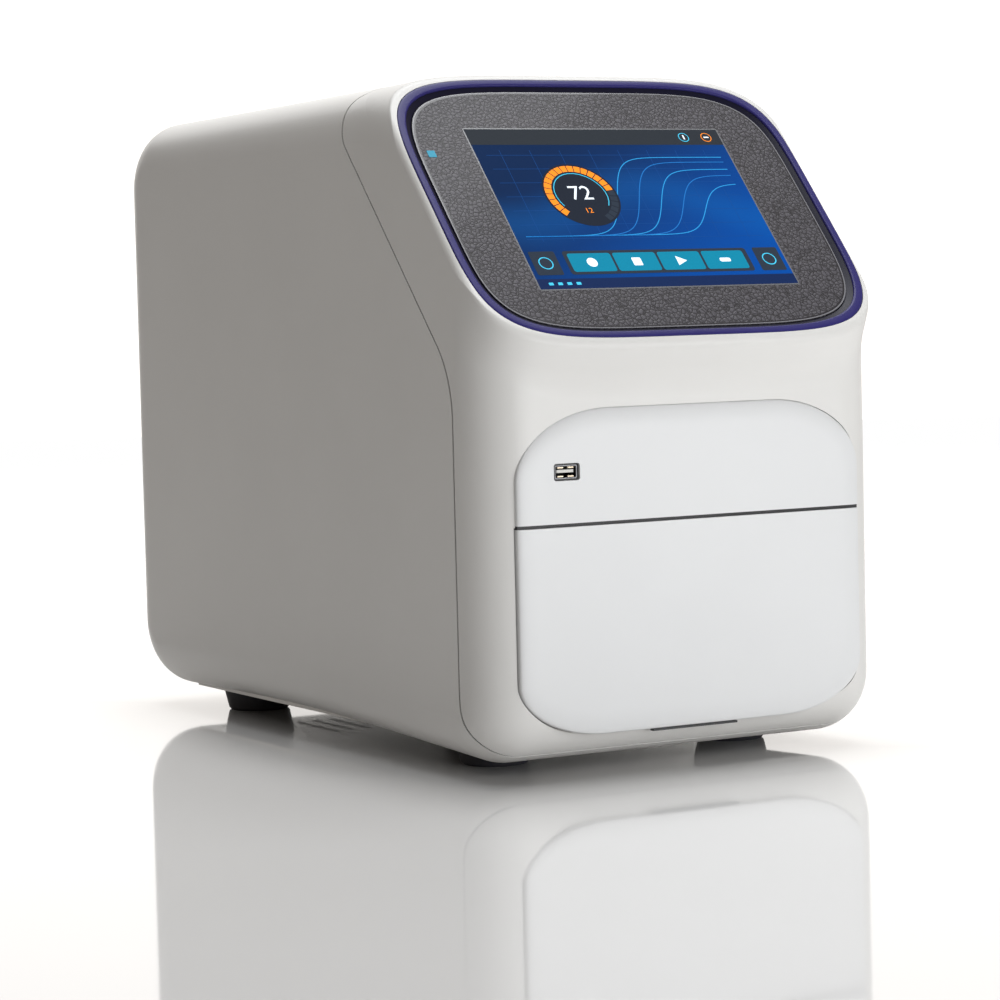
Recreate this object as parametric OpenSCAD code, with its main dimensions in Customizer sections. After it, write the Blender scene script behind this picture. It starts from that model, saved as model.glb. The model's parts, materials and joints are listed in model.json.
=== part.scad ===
// Real-time PCR machine, a bench instrument with a slanted touch screen and a motorised drawer.
// Every piece is placed as it sits in the closed instrument, in millimetres.
// X runs to the viewer's right, Y to the rear and Z up. The origin is under the middle of the
// instrument, on the surface that its feet stand on.

/* [Housing] */
// Width over the side walls
body_w = 270; // [250:1:300]
// Depth from the front of the screen rim to the rear wall
body_d = 500; // [480:1:560]
// Wall of the moulded covers
wall = 3; // [2:0.5:4]
// Underside of the covers above the bench at the rear
belly_z = 14.5; // [12:0.5:17]
// Rise of the underside's arch over its rear end
belly_rise = 3; // [0:0.5:4]
// Underside of the covers at the middle of the front
chin_z = 6.5; // [5:0.5:10]
// Height of the top at its rear end
rear_top_z = 387; // [380:1:392]
// Height of the top just behind the screen rim
shoulder_z = 394; // [390:1:397]
// Rounding of the front upright edges
front_edge_r = 33; // [24:1:44]
// Rounding of the top, rear and bottom long edges
long_edge_r = 30; // [20:1:36]
// Rounding of the rear corners seen from the side
rear_corner_r = 44; // [38:1:60]
// Rounding of the chin seen from the side
chin_r = 40; // [38:1:50]
// Set-back of the front wall behind the screen rim
front_setback = 11.5; // [8:0.5:16]
// Parting gap between the front moulding and the rear cover
seam_gap = 0.6; // [0.3:0.1:1]

/* [Screen] */
// Lean of the screen away from upright, in degrees
screen_tilt = 42; // [38:1:46]
// Distance of the rim's centre behind the rim's front end
screen_back = 68.5; // [66:0.5:72]
// Height of the rim's centre
screen_z = 321; // [315:0.5:324]
// Half height of the rim, measured along the slope
rim_half_h = 106; // [100:0.5:108]
// Visible white lip outside the trim ring
rim_lip = 2.8; // [2.2:0.1:4]
// Radius on the outer edge of the rim
rim_edge_r = 5; // [3:0.5:7]
// Width of the coloured trim ring
ring_w = 8.6; // [6:0.1:12]
// Depth of the glass below the rim
glass_depth = 2; // [1:0.1:4]
// Thickness of the touch panel
glass_t = 2.8; // [2:0.1:4]
// Squareness of the rim outline, where 2 is an ellipse
rim_power = 5; // [4:0.1:7]
// Width of the lit display
display_w = 173.5; // [150:0.5:190]
// Height of the lit display along the slope
display_h = 125; // [100:0.5:135]
// Thickness of the display module
display_t = 6; // [5:0.5:10]
// Edge of the square status light
status_w = 5; // [3:0.5:7]

/* [Front panel] */
// Width of the front wall beside the panel, which the fascia and the drawer front share
panel_side = 20; // [18:0.5:23]
// Lower edge of the front panel
panel_z0 = 24.5; // [22:0.5:30]
// Upper edge of the front panel
panel_z1 = 207; // [200:1:212]
// Width of the upper corners
panel_top_rx = 60; // [40:1:70]
// Height of the upper corners
panel_top_rz = 40; // [30:1:50]
// Width of the lower corners
panel_low_rx = 56; // [40:1:70]
// Height of the lower corners
panel_low_rz = 31; // [24:1:40]
// Thickness of the panel at its edge
panel_t = 8; // [6:0.5:9]
// How far the panel stands proud of the front wall
panel_proud = 1.5; // [1:0.1:3]
// Soft rounding of the panel's face towards its edge
panel_soft = 8; // [5:0.5:10]
// Height of the slit between the drawer front and the fascia
slit_z = 142.7; // [136:0.1:150]
// Height of that slit's gap
slit_gap = 1.6; // [1:0.1:3]
// Gap all round the front panel
panel_gap = 0.7; // [0.4:0.1:1.5]
// Width of the finger slot under the drawer front
finger_w = 57; // [40:1:70]
// Centre of the service socket from the panel's left end
port_inset = 31.5; // [29:0.5:35]
// Height of the service socket
port_z = 172.3; // [166:0.1:178]
// Width of the opening for the service socket
port_w = 16.8; // [15:0.1:18]
// Height of the opening for the service socket
port_h = 9.6; // [8:0.1:11]

/* [Frame and drawer] */
// Thickness of the sheet metal
sheet = 2; // [1.5:0.1:2.5]
// Height of the folded flanges
flange = 12; // [10:1:14]
// Room between a side frame and the side of the covers
side_room = 30; // [28:0.5:32]
// Length of the side frames
frame_len = 282; // [280:1:286]
// Underside of the optics deck
deck_z = 160; // [156:1:170]
// Length of the drawer tray
tray_len = 182; // [180:1:184]
// Underside of the tray floor
tray_z = 36; // [34:0.5:38]
// Top of the tray's side walls
tray_top_z = 112; // [110:0.5:113]
// Travel of the drawer
drawer_travel = 165; // [120:1:170]
// Height of the slide rails
rail_h = 35; // [28:1:40]
// Width of a pair of slide rails
rail_w = 12.9; // [12:0.1:13.4]
// Height of the rails' centre line
rail_z = 76; // [70:1:80]

/* [Sample block] */
// Pitch of the wells
well_pitch = 9; // [8.9:0.1:9.1]
// Columns of wells
well_cols = 12; // [6:1:12]
// Rows of wells
well_rows = 8; // [4:1:8]
// Radius of a well at its mouth
well_r = 3; // [2.4:0.1:3.4]
// Radius of a well at its floor
well_tip_r = 1.3; // [1:0.1:1.6]
// Depth of a well
well_depth = 14; // [10:0.5:15]
// Height of the block above its flange
block_h = 18; // [17:0.5:19]
// Top of the sample block
block_top_z = 118; // [117:0.5:119]
// Distance of the block's centre behind the front of the rim
block_back = 120; // [118:0.5:122]
// Thickness of the block's flange
block_flange = 4; // [3:0.5:5]
// Thickness of the heat pump modules
pump_t = 3.7; // [3:0.1:4]
// Edge of one heat pump module
pump_w = 38; // [34:0.5:40]
// Thickness of the heat sink's base
sink_base = 8; // [6:0.5:10]
// Depth of the heat sink's fins
fin_depth = 36; // [28:1:38]
// Thickness of a fin
fin_t = 1.6; // [1.2:0.1:2.4]
// Pitch of the fins
fin_pitch = 5; // [4:0.1:7]

/* [Heated cover] */
// Gap that the sample plate takes between the block and the cover
plate_gap = 6; // [5:0.5:8]
// Thickness of the heated plate
cover_t = 6; // [4:0.5:8]
// Radius of a light hole in the heated plate
light_r = 2.6; // [2:0.1:3]
// Thickness of the cover carriage
carriage_t = 12; // [10:0.5:14]
// Lift of the cover
cover_lift = 10; // [6:0.5:11]
// Radius of a lift screw
screw_r = 4; // [3:0.5:5]
// Distance of each lift screw from its side frame
screw_inset = 13; // [11:0.5:15]

/* [Optics] */
// Width of the optics housing
optics_w = 144; // [130:1:146]
// Wall of the optics housing
optics_wall = 2.5; // [2:0.5:3]
// Height of the light path above the deck
path_h = 113.5; // [110:0.5:116]
// Radius of a filter wheel
wheel_r = 46; // [42:1:48]
// Distance of the filters from the wheel's axis
filter_ring_r = 30; // [28:0.5:32]
// Radius of a filter
filter_r = 11; // [8:0.5:12]
// Number of filters in each wheel
filters = 6; // [3:1:6]
// Thickness of a filter wheel
wheel_t = 4; // [3:0.5:5]
// Edge of the small stepping motors
stepper_w = 28; // [24:1:30]
// Length of the small stepping motors
stepper_l = 30; // [20:1:34]

/* [Cooling and power] */
// Edge of an exhaust fan
fan_w = 80; // [60:1:90]
// Edge of the block's fan
block_fan_w = 70; // [50:1:72]
// Thickness of the fans
fan_t = 25; // [15:1:25]
// Blades of a fan
blades = 7; // [5:1:9]
// Distance of each exhaust fan from the middle
fan_x = 48; // [46:1:52]
// Height of the exhaust fans
fan_z = 250; // [210:1:270]
// Width of a cooling slot
slot_w = 3.4; // [2:0.1:3.8]
// Pitch of the cooling slots
slot_pitch = 6.4; // [6:0.1:9]

/* [Feet] */
// Radius of a foot where it meets the bench
foot_r = 20; // [15:0.5:22]
// Radius of a foot where it meets the base
foot_top_r = 22.5; // [16:0.5:23]
// Distance of the feet from the middle
foot_x = 82; // [70:1:84]
// Distance of the front feet behind the front of the rim
foot_front = 101; // [90:1:120]
// Distance of the rear feet in front of the rear wall
foot_rear = 83; // [70:1:110]

/* [Hidden] */
$fn = 48;

// Clearances: between pieces that slide, round a turning shaft, and between pieces that only lie close
slide_gap = 0.3;
shaft_gap = 0.05;
fit_gap = 0.2;
// Overrun of a cut past the face that it opens
over = 1;

// Housing
half_w = body_w / 2;
rim_y = -body_d / 2;
rear_y = body_d / 2;
front_y = rim_y + front_setback;
panel_y = front_y - panel_proud;
screen_y = rim_y + screen_back;
up = [sin(screen_tilt), cos(screen_tilt)];
out = [-cos(screen_tilt), sin(screen_tilt)];
rim_a = half_w + 0.4;
ring_a = half_w - rim_lip;
ring_b = rim_half_h - rim_lip - 1.6;
glass_a = ring_a - ring_w;
glass_b = ring_b - ring_w;
flare_drop = 22;
shoulder_run = 34;
seam_top = 104;
seam_side = 22.5;
seam_low = 43;
arch_y = rim_y + 0.56 * body_d;
arch_r = 3600;
belly_top = belly_z + belly_rise + wall;
corner_steps = 6;

// Front panel
panel_w = body_w - 2 * panel_side;
panel_mid_z = (panel_z0 + panel_z1) / 2;
panel_back = panel_y + panel_t;
pocket_t = 2.5;
port_x = panel_w / 2 - port_inset;
tray_w = body_w - 2 * (side_room + rail_w + 2 * slide_gap);
bay_w = tray_w + 9;
bay_z0 = tray_z - 1.5;
bay_z1 = slit_z - 3.7;

// Base and frames
base_z0 = belly_z - 0.5;
base_z1 = base_z0 + sheet;
base_y0 = front_y + 44;
base_y1 = rear_y - 46;
frame_x = half_w - side_room;
base_half_w = frame_x + 2 * sheet;
foot_flange = 9;
frame_y0 = front_y + 16.5;
frame_nose_z = 52;
deck_top = deck_z + sheet;
deck_y1 = frame_y0 + frame_len;

// Drawer
tray_x = tray_w / 2;
screw_x = frame_x - screw_inset;
tray_y0 = frame_y0 - 6;
tray_y1 = tray_y0 + tray_len;
tray_floor = tray_z + sheet;
rail_x0 = tray_x + slide_gap;
rail_x1 = frame_x - slide_gap;
block_y = rim_y + block_back;
block_w = well_cols * well_pitch + 8;
block_d = well_rows * well_pitch + 8;
block_z0 = block_top_z - block_h;
pump_z0 = block_z0 - block_flange - pump_t;
sink_z0 = pump_z0 - sink_base;
fin_z0 = sink_z0 - fin_depth;
block_flange_w = block_w + 10;
block_flange_d = block_d + 10;
sink_w = block_flange_w + 8;
sink_d = block_flange_d + 6;
cross_bar = 6;
block_fan_z = tray_floor + block_fan_w / 2;
block_fan_y0 = tray_y1 - sheet - fan_t;

// Room behind the drawer's bay for the power supply and the control board
bay_rear = tray_y1 + 46;
supply_rear = rear_y - 95;

// Rack and pinion
gear_module = 1;
pinion_teeth = 20;
pinion_r = gear_module * pinion_teeth / 2;
pinion_x = 62;
pinion_y = base_y0 + 19;
rack_x = pinion_x - pinion_r;
rack_body = 6;
rack_h = 8;
rack_pitch = PI * gear_module;
rack_spare = 3;
rack_teeth_n = ceil(drawer_travel / rack_pitch) + 2 * rack_spare;

// Heated cover
cover_z0 = block_top_z + plate_gap;
carriage_z0 = cover_z0 + cover_t;
carriage_z1 = carriage_z0 + carriage_t;
window_w = block_w + 6;
window_d = block_d + 6;
lift_motor_w = 34;
lift_motor_h = 36;
screw_z0 = carriage_z0 - 4;

// Optics
path_z = deck_top + path_h;
tunnel_h = 80;
tunnel_z0 = path_z - tunnel_h / 2;
tunnel_z1 = path_z + tunnel_h / 2;
optics_x = optics_w / 2;
shaft_y0 = block_y - 48;
shaft_y1 = block_y + 48;
tunnel_y1 = block_y + 120;
mirror_rise = tunnel_z1 - tunnel_z0 + 6;
splitter_y = tunnel_y1 - 40;
ex_window_r = 20;
em_window_r = 26;
ex_wheel_x = optics_x + 4.5;
ex_plate_x = ex_wheel_x + wheel_t + 3.5;
ex_axis_y = splitter_y + filter_ring_r;
em_wheel_y = tunnel_y1 + 4.5;
em_plate_y = em_wheel_y + wheel_t + 3.5;
em_axis_x = -filter_ring_r;
shaft_r = 2.5;
lens_r = 15;
lens_len = 34;
camera_w = 44;
camera_len = 46;
led_w = 32;

// Rear
rear_open_w = 202;
rear_open_z0 = 60;
rear_open_z1 = 336;
rear_panel_y1 = rear_y - wall - 1.6;
rear_panel_y0 = rear_panel_y1 - sheet;
rear_margin = 6;
inlet_x = -72;
inlet_z = 92;
inlet_w = 27;
inlet_h = 20;
rocker_x = -32;
rocker_w = 13;
rocker_h = 19.5;
fuse_z = inlet_z + 21;
fuse_w = 23;
fuse_h = 10.6;
lan_x = 30;
lan_z = 92;
usb_x = 66;

// Feet
foot_y = [rim_y + foot_front, rear_y - foot_rear];
foot_h = base_z0;
foot_screw_r = 2.5;
foot_head_r = 4.6;
foot_well_z = 5;

// Points of a rounded corner at b between a and c, by a cubic curve near to the arc of radius r
function corner(a, b, c, r, steps) =
    let (
        la = norm(a - b),
        lc = norm(c - b),
        u = (a - b) / la,
        v = (c - b) / lc,
        half = acos(max(-1, min(1, u * v))) / 2,
        reach = min(r / tan(half), 0.49 * la, 0.49 * lc),
        hold = 0.42 + 0.26 * half / 90,
        p0 = b + reach * u,
        p3 = b + reach * v,
        p1 = p0 + hold * (b - p0),
        p2 = p3 + hold * (b - p3)
    )
    [for (i = [0:steps])
        let (t = i / steps, s = 1 - t)
        s * s * s * p0 + 3 * s * s * t * p1 + 3 * s * t * t * p2 + t * t * t * p3];

// A closed outline whose corner i is rounded with radii[i]
function rounded(points, radii, steps) =
    let (n = len(points))
    [for (i = [0:n - 1])
        each corner(points[(i + n - 1) % n], points[i], points[(i + 1) % n], radii[i], steps)];

// How far an edge of radius r falls back at x, on a body of half width w
function edge_fall(x, w, r) =
    let (k = min(r, abs(x) - (w - r)))
    k <= 0 ? 0 : r - sqrt(max(0, r * r - k * k));

// Half height at x of the rim outline, an ellipse of higher power
function rim_reach(x, a, b) = b * pow(max(0, 1 - pow(abs(x) / a, rim_power)), 1 / rim_power);

// Side outline of the housing at x, as points of Y and Z, set inwards by t
function housing_section(x, t, steps) =
    let (
        w = half_w - t,
        front = t + edge_fall(x, w, front_edge_r - t),
        long = t + edge_fall(x, w, long_edge_r - t),
        face = t + edge_fall(x, w, rim_edge_r),
        reach = rim_reach(x, rim_a - t, rim_half_h - t),
        centre = [screen_y, screen_z] - face * out,
        chin = centre - reach * up,
        brow = centre + reach * up,
        top_z = min(shoulder_z - long, brow[1] - 1 + 9 * edge_fall(x, w, 30) / 30)
    )
    rounded(
        [
            [front_y + front, chin_z + long],
            [front_y + front, chin[1] - flare_drop],
            chin,
            brow,
            [brow[0] + shoulder_run, top_z],
            [rear_y - long, rear_top_z - long],
            [rear_y - long, belly_z + long],
            [arch_y, belly_z + belly_rise + long]
        ],
        [
            max(4, chin_r - front), 34 + front, max(1.5, 7 - t), max(1.5, 7 - t), 60 + long,
            max(4, rear_corner_r - long), max(4, rear_corner_r - long), arch_r
        ],
        steps
    );

function middle(ring) = [for (p = ring) 1] * ring / len(ring);

// A closed solid through rings that have the same number of points each
module loft(rings) {
    n = len(rings[0]);
    last = len(rings) - 1;
    ends = n * len(rings);
    sides = [for (j = [0:last - 1], i = [0:n - 1])
        each [
            [j * n + i, j * n + (i + 1) % n, (j + 1) * n + i],
            [j * n + (i + 1) % n, (j + 1) * n + (i + 1) % n, (j + 1) * n + i]
        ]];
    caps = [for (i = [0:n - 1])
        each [[ends, (i + 1) % n, i], [ends + 1, last * n + i, last * n + (i + 1) % n]]];
    polyhedron(
        points = concat([for (ring = rings) each ring], [middle(rings[0]), middle(rings[last])]),
        faces = concat(caps, sides),
        convexity = 12
    );
}

// Stations across the half width, closer together towards the rounded side
function stations(w, count) = [for (i = [0:count]) w * sin(90 * pow(i / count, 0.62))];

// The housing as one closed form, set inwards by t
module housing_form(t, count, steps) {
    half = stations(half_w - t, count);
    xs = concat([for (i = [count:-1:1]) -half[i]], half);
    loft([for (x = xs) [for (p = housing_section(x, t, steps)) [x, p[0], p[1]]]]);
}

// Extrudes an outline of Y and Z along X, from x0 to x1
module along_x(x0, x1) {
    translate([x0, 0, 0]) rotate([90, 0, 90]) linear_extrude(x1 - x0) children();
}

// Extrudes an outline of X and Z along Y, from y0 to y1
module along_y(y0, y1) {
    translate([0, y1, 0]) rotate([90, 0, 0]) linear_extrude(y1 - y0) children();
}

// Puts children on the slanted face: X across, Y up the slope, Z outwards from the rim
module on_screen() {
    translate([0, screen_y, screen_z]) rotate([90 - screen_tilt, 0, 0]) children();
}

// A box between two corners
module block(from, to) {
    translate(from) cube(to - from);
}

// A box with rounded upright edges, centred on X and Y
module pill_box(size, r) {
    linear_extrude(size[2]) rounded_rect(size[0], size[1], r);
}

// A rectangle with rounded corners, centred
module rounded_rect(w, h, r) {
    polygon(rounded([[-w / 2, -h / 2], [w / 2, -h / 2], [w / 2, h / 2], [-w / 2, h / 2]], [r, r, r, r], 6));
}

// A pair of pieces, mirrored left and right
module both_sides() {
    children();
    mirror([1, 0, 0]) children();
}

// A cylinder along Y that starts at y = 0
module rod_y(r, l) {
    rotate([-90, 0, 0]) cylinder(r = r, h = l);
}

// A cylinder along X that starts at x = 0
module rod_x(r, l) {
    rotate([0, 90, 0]) cylinder(r = r, h = l);
}

// Outline of the rim or of a ring in it
function rim_outline(a, b, count) =
    [for (i = [0:count - 1])
        let (
            angle = 360 * i / count,
            c = cos(angle),
            s = sin(angle),
            k = pow(pow(abs(c), rim_power) + pow(abs(s), rim_power), -1 / rim_power)
        )
        [a * k * c, b * k * s]];

module rim_shape(a, b) {
    polygon(rim_outline(a, b, 80));
}

// Outline of the front panel, grown by g, with corners that are quarters of ellipses
function panel_outline(g, count) =
    let (
        w = panel_w / 2 + g,
        z0 = panel_z0 - g,
        z1 = panel_z1 + g,
        lx = panel_low_rx + g,
        lz = panel_low_rz + g,
        tx = panel_top_rx + g,
        tz = panel_top_rz + g
    )
    concat(
        [for (i = [0:count]) let (a = 270 + 90 * i / count) [w - lx + lx * cos(a), z0 + lz + lz * sin(a)]],
        [for (i = [0:count]) let (a = 90 * i / count) [w - tx + tx * cos(a), z1 - tz + tz * sin(a)]],
        [for (i = [0:count]) let (a = 90 + 90 * i / count) [tx - w + tx * cos(a), z1 - tz + tz * sin(a)]],
        [for (i = [0:count]) let (a = 180 + 90 * i / count) [lx - w + lx * cos(a), z0 + lz + lz * sin(a)]]
    );

module panel_shape(g) {
    polygon(panel_outline(g, 12));
}

// The front panel in one piece: a slab whose face falls away softly to its edge
module panel_form() {
    falls = [[1, 0], [0.68, 0.01], [0.36, 0.08], [0.14, 0.22], [0.03, 0.42], [0, 0.62]];
    rings = concat(
        [for (f = falls) [for (p = panel_outline(-panel_soft * f[0], 9)) [p[0], panel_y + panel_soft * f[1], p[1]]]],
        [[for (p = panel_outline(0, 9)) [p[0], panel_back, p[1]]]]
    );
    loft(rings);
}

// Everything in front of the parting line, as an outline of Y and Z
seam_line = rounded(
    [
        [screen_y + seam_top + 2, shoulder_z + 36], [screen_y + seam_top, shoulder_z - 30],
        [screen_y - seam_side, panel_z1 + 19], [screen_y - seam_side, base_z0 + 24],
        [screen_y - seam_low, 2], [screen_y - seam_low, -10],
        [rim_y - 20, -10], [rim_y - 20, shoulder_z + 36]
    ],
    [5, 24, 60, 44, 20, 1, 1, 1], 6
);

module ahead_of_seam(g) {
    along_x(-half_w - over, half_w + over) offset(delta = g) polygon(seam_line);
}

module housing_shell() {
    difference() {
        housing_form(0, 10, corner_steps);
        housing_form(wall, 7, 4);
        block([-base_half_w - 0.4, base_y0 - 0.4, -over], [base_half_w + 0.4, base_y1 + 0.4, belly_top + 3]);
    }
}

module rear_cover() {
    color("whitesmoke") difference() {
        housing_shell();
        ahead_of_seam(seam_gap / 2);
        along_y(rear_y - 12, rear_y + over)
            translate([0, (rear_open_z0 + rear_open_z1) / 2])
            rounded_rect(rear_open_w, rear_open_z1 - rear_open_z0, 14);
    }
}

// Way out through the front for the drawer's rack
module rack_notch() {
    block([rack_x - rack_body - 2, rim_y, tray_z - rack_h - 1.5], [rack_x + 3, 0, bay_z1]);
}

// Shallow pocket that the front panel sits in, with the drawer's bay and the socket's hole
module panel_pocket() {
    difference() {
        intersection() {
            along_y(rim_y, panel_back + 0.4 + pocket_t) panel_shape(panel_gap + pocket_t);
            housing_form(0.02, 10, corner_steps);
        }
        along_y(rim_y - over, panel_back + 0.4) panel_shape(panel_gap);
        block([-bay_w / 2, rim_y, bay_z0], [bay_w / 2, rear_y, bay_z1]);
        rack_notch();
        both_sides() block(
            [0, rim_y, rail_z - rail_h / 2 - 1],
            [rail_x1 + 1.2, rear_y, rail_z + rail_h / 2 + 1]
        );
        block(
            [-port_x - port_w / 2 - 1, rim_y, port_z - port_h / 2 - 1],
            [-port_x + port_w / 2 + 1, 0, port_z + port_h / 2 + 1]
        );
    }
}

module front_bezel() {
    color("whitesmoke") {
        difference() {
            intersection() {
                housing_shell();
                ahead_of_seam(-seam_gap / 2);
            }
            on_screen() translate([0, 0, -14]) linear_extrude(20) rim_shape(ring_a, ring_b);
            along_y(rim_y - over, panel_back + 5) panel_shape(panel_gap);
            rack_notch();
            block(
                [-finger_w / 2, panel_y - over, panel_z0 - panel_gap - 1.4],
                [finger_w / 2, panel_y + 7, panel_z0]
            );
        }
        panel_pocket();
    }
}

module screen_trim_ring() {
    floor_z = glass_depth + glass_t;
    color("darkslateblue") on_screen() {
        difference() {
            translate([0, 0, -10]) linear_extrude(10.4) rim_shape(ring_a - fit_gap, ring_b - fit_gap);
            translate([0, 0, -floor_z - 0.1]) linear_extrude(20) rim_shape(glass_a + fit_gap, glass_b + fit_gap);
            translate([0, 0, -20]) linear_extrude(30) rim_shape(glass_a - 5, glass_b - 5);
        }
    }
}

module touch_panel() {
    color("dimgray") on_screen()
        translate([0, 0, -glass_depth - glass_t])
        linear_extrude(glass_t)
        difference() {
            rim_shape(glass_a, glass_b);
            translate([-glass_a + 8.5, 42.5]) square(status_w + 0.2, center = true);
        }
}

module display_module() {
    depth = glass_depth + glass_t;
    color("midnightblue") on_screen()
        translate([-display_w / 2 - 4, -display_h / 2 - 5, -depth - display_t])
        cube([display_w + 8, display_h + 10, display_t]);
}

bracket_depth = glass_depth + glass_t + display_t;

module display_bracket() {
    color("silver") on_screen() translate([0, 0, -bracket_depth - sheet]) {
        linear_extrude(sheet) difference() {
            rim_shape(glass_a - 1, glass_b - 1);
            square([display_w - 50, display_h - 40], center = true);
        }
        linear_extrude(bracket_depth - 10 + sheet) difference() {
            rim_shape(glass_a - 1, glass_b - 1);
            rim_shape(glass_a - 1 - sheet, glass_b - 1 - sheet);
        }
        for (x = [-1, 1], y = [-1, 1])
            translate([x * (display_w / 2 - 12), y * (display_h / 2 - 8), -8]) cylinder(r = 3, h = 8);
    }
}

module display_board() {
    color("darkgreen") on_screen() translate([0, 0, -bracket_depth - sheet - 8 - 1.6]) {
        translate([-display_w / 2 + 6, -display_h / 2 + 3, 0]) cube([display_w - 12, display_h - 6, 1.6]);
        translate([-20, -12, -2.5]) cube([28, 28, 2.5]);
        for (i = [0:3])
            translate([28 + 13 * i, -30, -2]) cube([9, 16, 2]);
        translate([-66, 20, -6]) cube([22, 14, 6]);
    }
}

module status_light() {
    color("deepskyblue") on_screen()
        translate([-glass_a + 8.5, 42.5, -glass_depth - glass_t])
        linear_extrude(glass_t + 0.2) square(status_w, center = true);
}

module upper_fascia() {
    color("white") difference() {
        intersection() {
            panel_form();
            block([-half_w, rim_y, slit_z + slit_gap / 2], [half_w, 0, body_d]);
        }
        along_y(rim_y, 0) translate([-port_x, port_z]) rounded_rect(port_w, port_h, 1.5);
    }
}

module front_usb_port() {
    w = port_w - 2 * fit_gap;
    h = port_h - 2 * fit_gap;
    color("gray") difference() {
        translate([-port_x, 0, port_z]) {
            along_y(panel_y + 1.6, panel_back + 14) rounded_rect(w, h, 1.5);
            along_y(panel_back + 0.4 + pocket_t, panel_back + 7 + pocket_t) rounded_rect(w + 8, h + 8, 2);
        }
        translate([-port_x, 0, port_z]) difference() {
            along_y(panel_y, panel_y + 14) square([w - 3.2, h - 2.8], center = true);
            along_y(panel_y + 2.6, panel_y + 15) translate([0, 0.6]) square([w - 6, 1.8], center = true);
        }
    }
}

// Base pan, with a turned-up flange all round and a pressed boss over each foot
module base_chassis() {
    w = base_half_w;
    color("silver") difference() {
        union() {
            block([-w, base_y0, base_z0], [w, base_y1, base_z1]);
            both_sides() block([w - sheet, base_y0, base_z0], [w, base_y1, base_z0 + flange]);
            block([-w, base_y0, base_z0], [w, base_y0 + sheet, base_z0 + flange]);
            block([-w, base_y1 - sheet, base_z0], [w, base_y1, base_z0 + flange]);
            for (x = [-foot_x, foot_x], y = foot_y)
                translate([x, y, base_z1]) cylinder(r = 6, h = 5);
        }
        for (x = [-foot_x, foot_x], y = foot_y)
            translate([x, y, base_z0 - over]) cylinder(r = foot_screw_r + shaft_gap, h = sheet + 5 + 2 * over);
        for (i = [-4:4])
            translate([12 * i - 2, 120, base_z0 - over]) cube([4, 60, sheet + 2 * over]);
    }
}

module rubber_feet() {
    color("#202028") for (x = [-foot_x, foot_x], y = foot_y)
        translate([x, y, 0]) rotate_extrude() polygon([
            [foot_screw_r + 0.4, foot_well_z + 2.4], [foot_head_r + 0.6, foot_well_z + 2.4],
            [foot_head_r + 0.6, 0], [foot_r - 1.5, 0], [foot_r, 1.5],
            [foot_top_r, foot_h - 2], [foot_top_r, foot_h], [foot_screw_r + 0.4, foot_h]
        ]);
}

module foot_screws() {
    color("gray") for (x = [-foot_x, foot_x], y = foot_y)
        translate([x, y, 0]) {
            translate([0, 0, foot_well_z + 2.3 - 2.6]) difference() {
                cylinder(r = foot_head_r, h = 2.6);
                translate([0, 0, -over]) cylinder(r = 1.6, h = 2.4, $fn = 6);
            }
            translate([0, 0, foot_well_z + 2]) cylinder(r = foot_screw_r, h = base_z1 + 3 - foot_well_z - 2);
        }
}

// Upright plates beside the drawer, each with a foot flange and lightening holes
module side_frames() {
    color("silver") both_sides() {
        difference() {
            along_x(frame_x, frame_x + sheet) polygon([
                [frame_y0, deck_z], [frame_y0, frame_nose_z], [base_y0 - 2, base_z0 + flange + 1],
                [base_y0 + sheet, base_z0 + flange + 1], [base_y0 + sheet, base_z1],
                [deck_y1, base_z1], [deck_y1, deck_z]
            ]);
            for (i = [0:2])
                translate([frame_x - over, frame_y0 + 52 + 88 * i, 128]) rod_x(13, sheet + 2 * over);
        }
        block([frame_x - foot_flange, base_y0 + sheet, base_z1], [frame_x, deck_y1, base_z1 + sheet]);
    }
}

module optics_deck() {
    color("silver") difference() {
        union() {
            block([-frame_x - sheet, frame_y0, deck_z], [frame_x + sheet, deck_y1, deck_top]);
            block([-frame_x + fit_gap, deck_y1 - sheet, deck_z - flange], [frame_x - fit_gap, deck_y1, deck_z]);
            both_sides() translate([screw_x, block_y, deck_z - 5]) cylinder(r = screw_r + 3, h = 5);
        }
        block(
            [-window_w / 2, block_y - window_d / 2, deck_z - over],
            [window_w / 2, block_y + window_d / 2, deck_top + over]
        );
        both_sides() translate([screw_x, block_y, deck_z - 6]) cylinder(r = screw_r + shaft_gap, h = 12);
    }
}

// Outer channels of the drawer's slides
module fixed_rails() {
    lip = 2.6;
    color("gray") both_sides() {
        block([rail_x1 - 2, frame_y0 + 3, rail_z - rail_h / 2], [frame_x, frame_y0 + 193, rail_z + rail_h / 2]);
        for (s = [-1, 1]) {
            z = rail_z + s * (rail_h / 2 - 1);
            block([rail_x0 + 3, frame_y0 + 3, z - 1], [rail_x1 - 2, frame_y0 + 193, z + 1]);
            block(
                [rail_x0 + 3, frame_y0 + 3, z - s * lip - (s > 0 ? 1 : 0)],
                [rail_x0 + 5, frame_y0 + 193, z - s * lip + (s > 0 ? lip : 1)]
            );
        }
    }
}

// Inner members of the drawer's slides, which ride in the channels
module moving_rails() {
    h = rail_h - 4 - 2 * slide_gap;
    neck = rail_h - 11;
    color("dimgray") both_sides() {
        block([tray_x, frame_y0 + 5, rail_z - neck / 2], [rail_x0 + 5.4, tray_y1 - 3, rail_z + neck / 2]);
        block([rail_x0 + 5.4, frame_y0 + 5, rail_z - h / 2], [rail_x1 - 2 - slide_gap, tray_y1 - 3, rail_z + h / 2]);
    }
}

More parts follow.
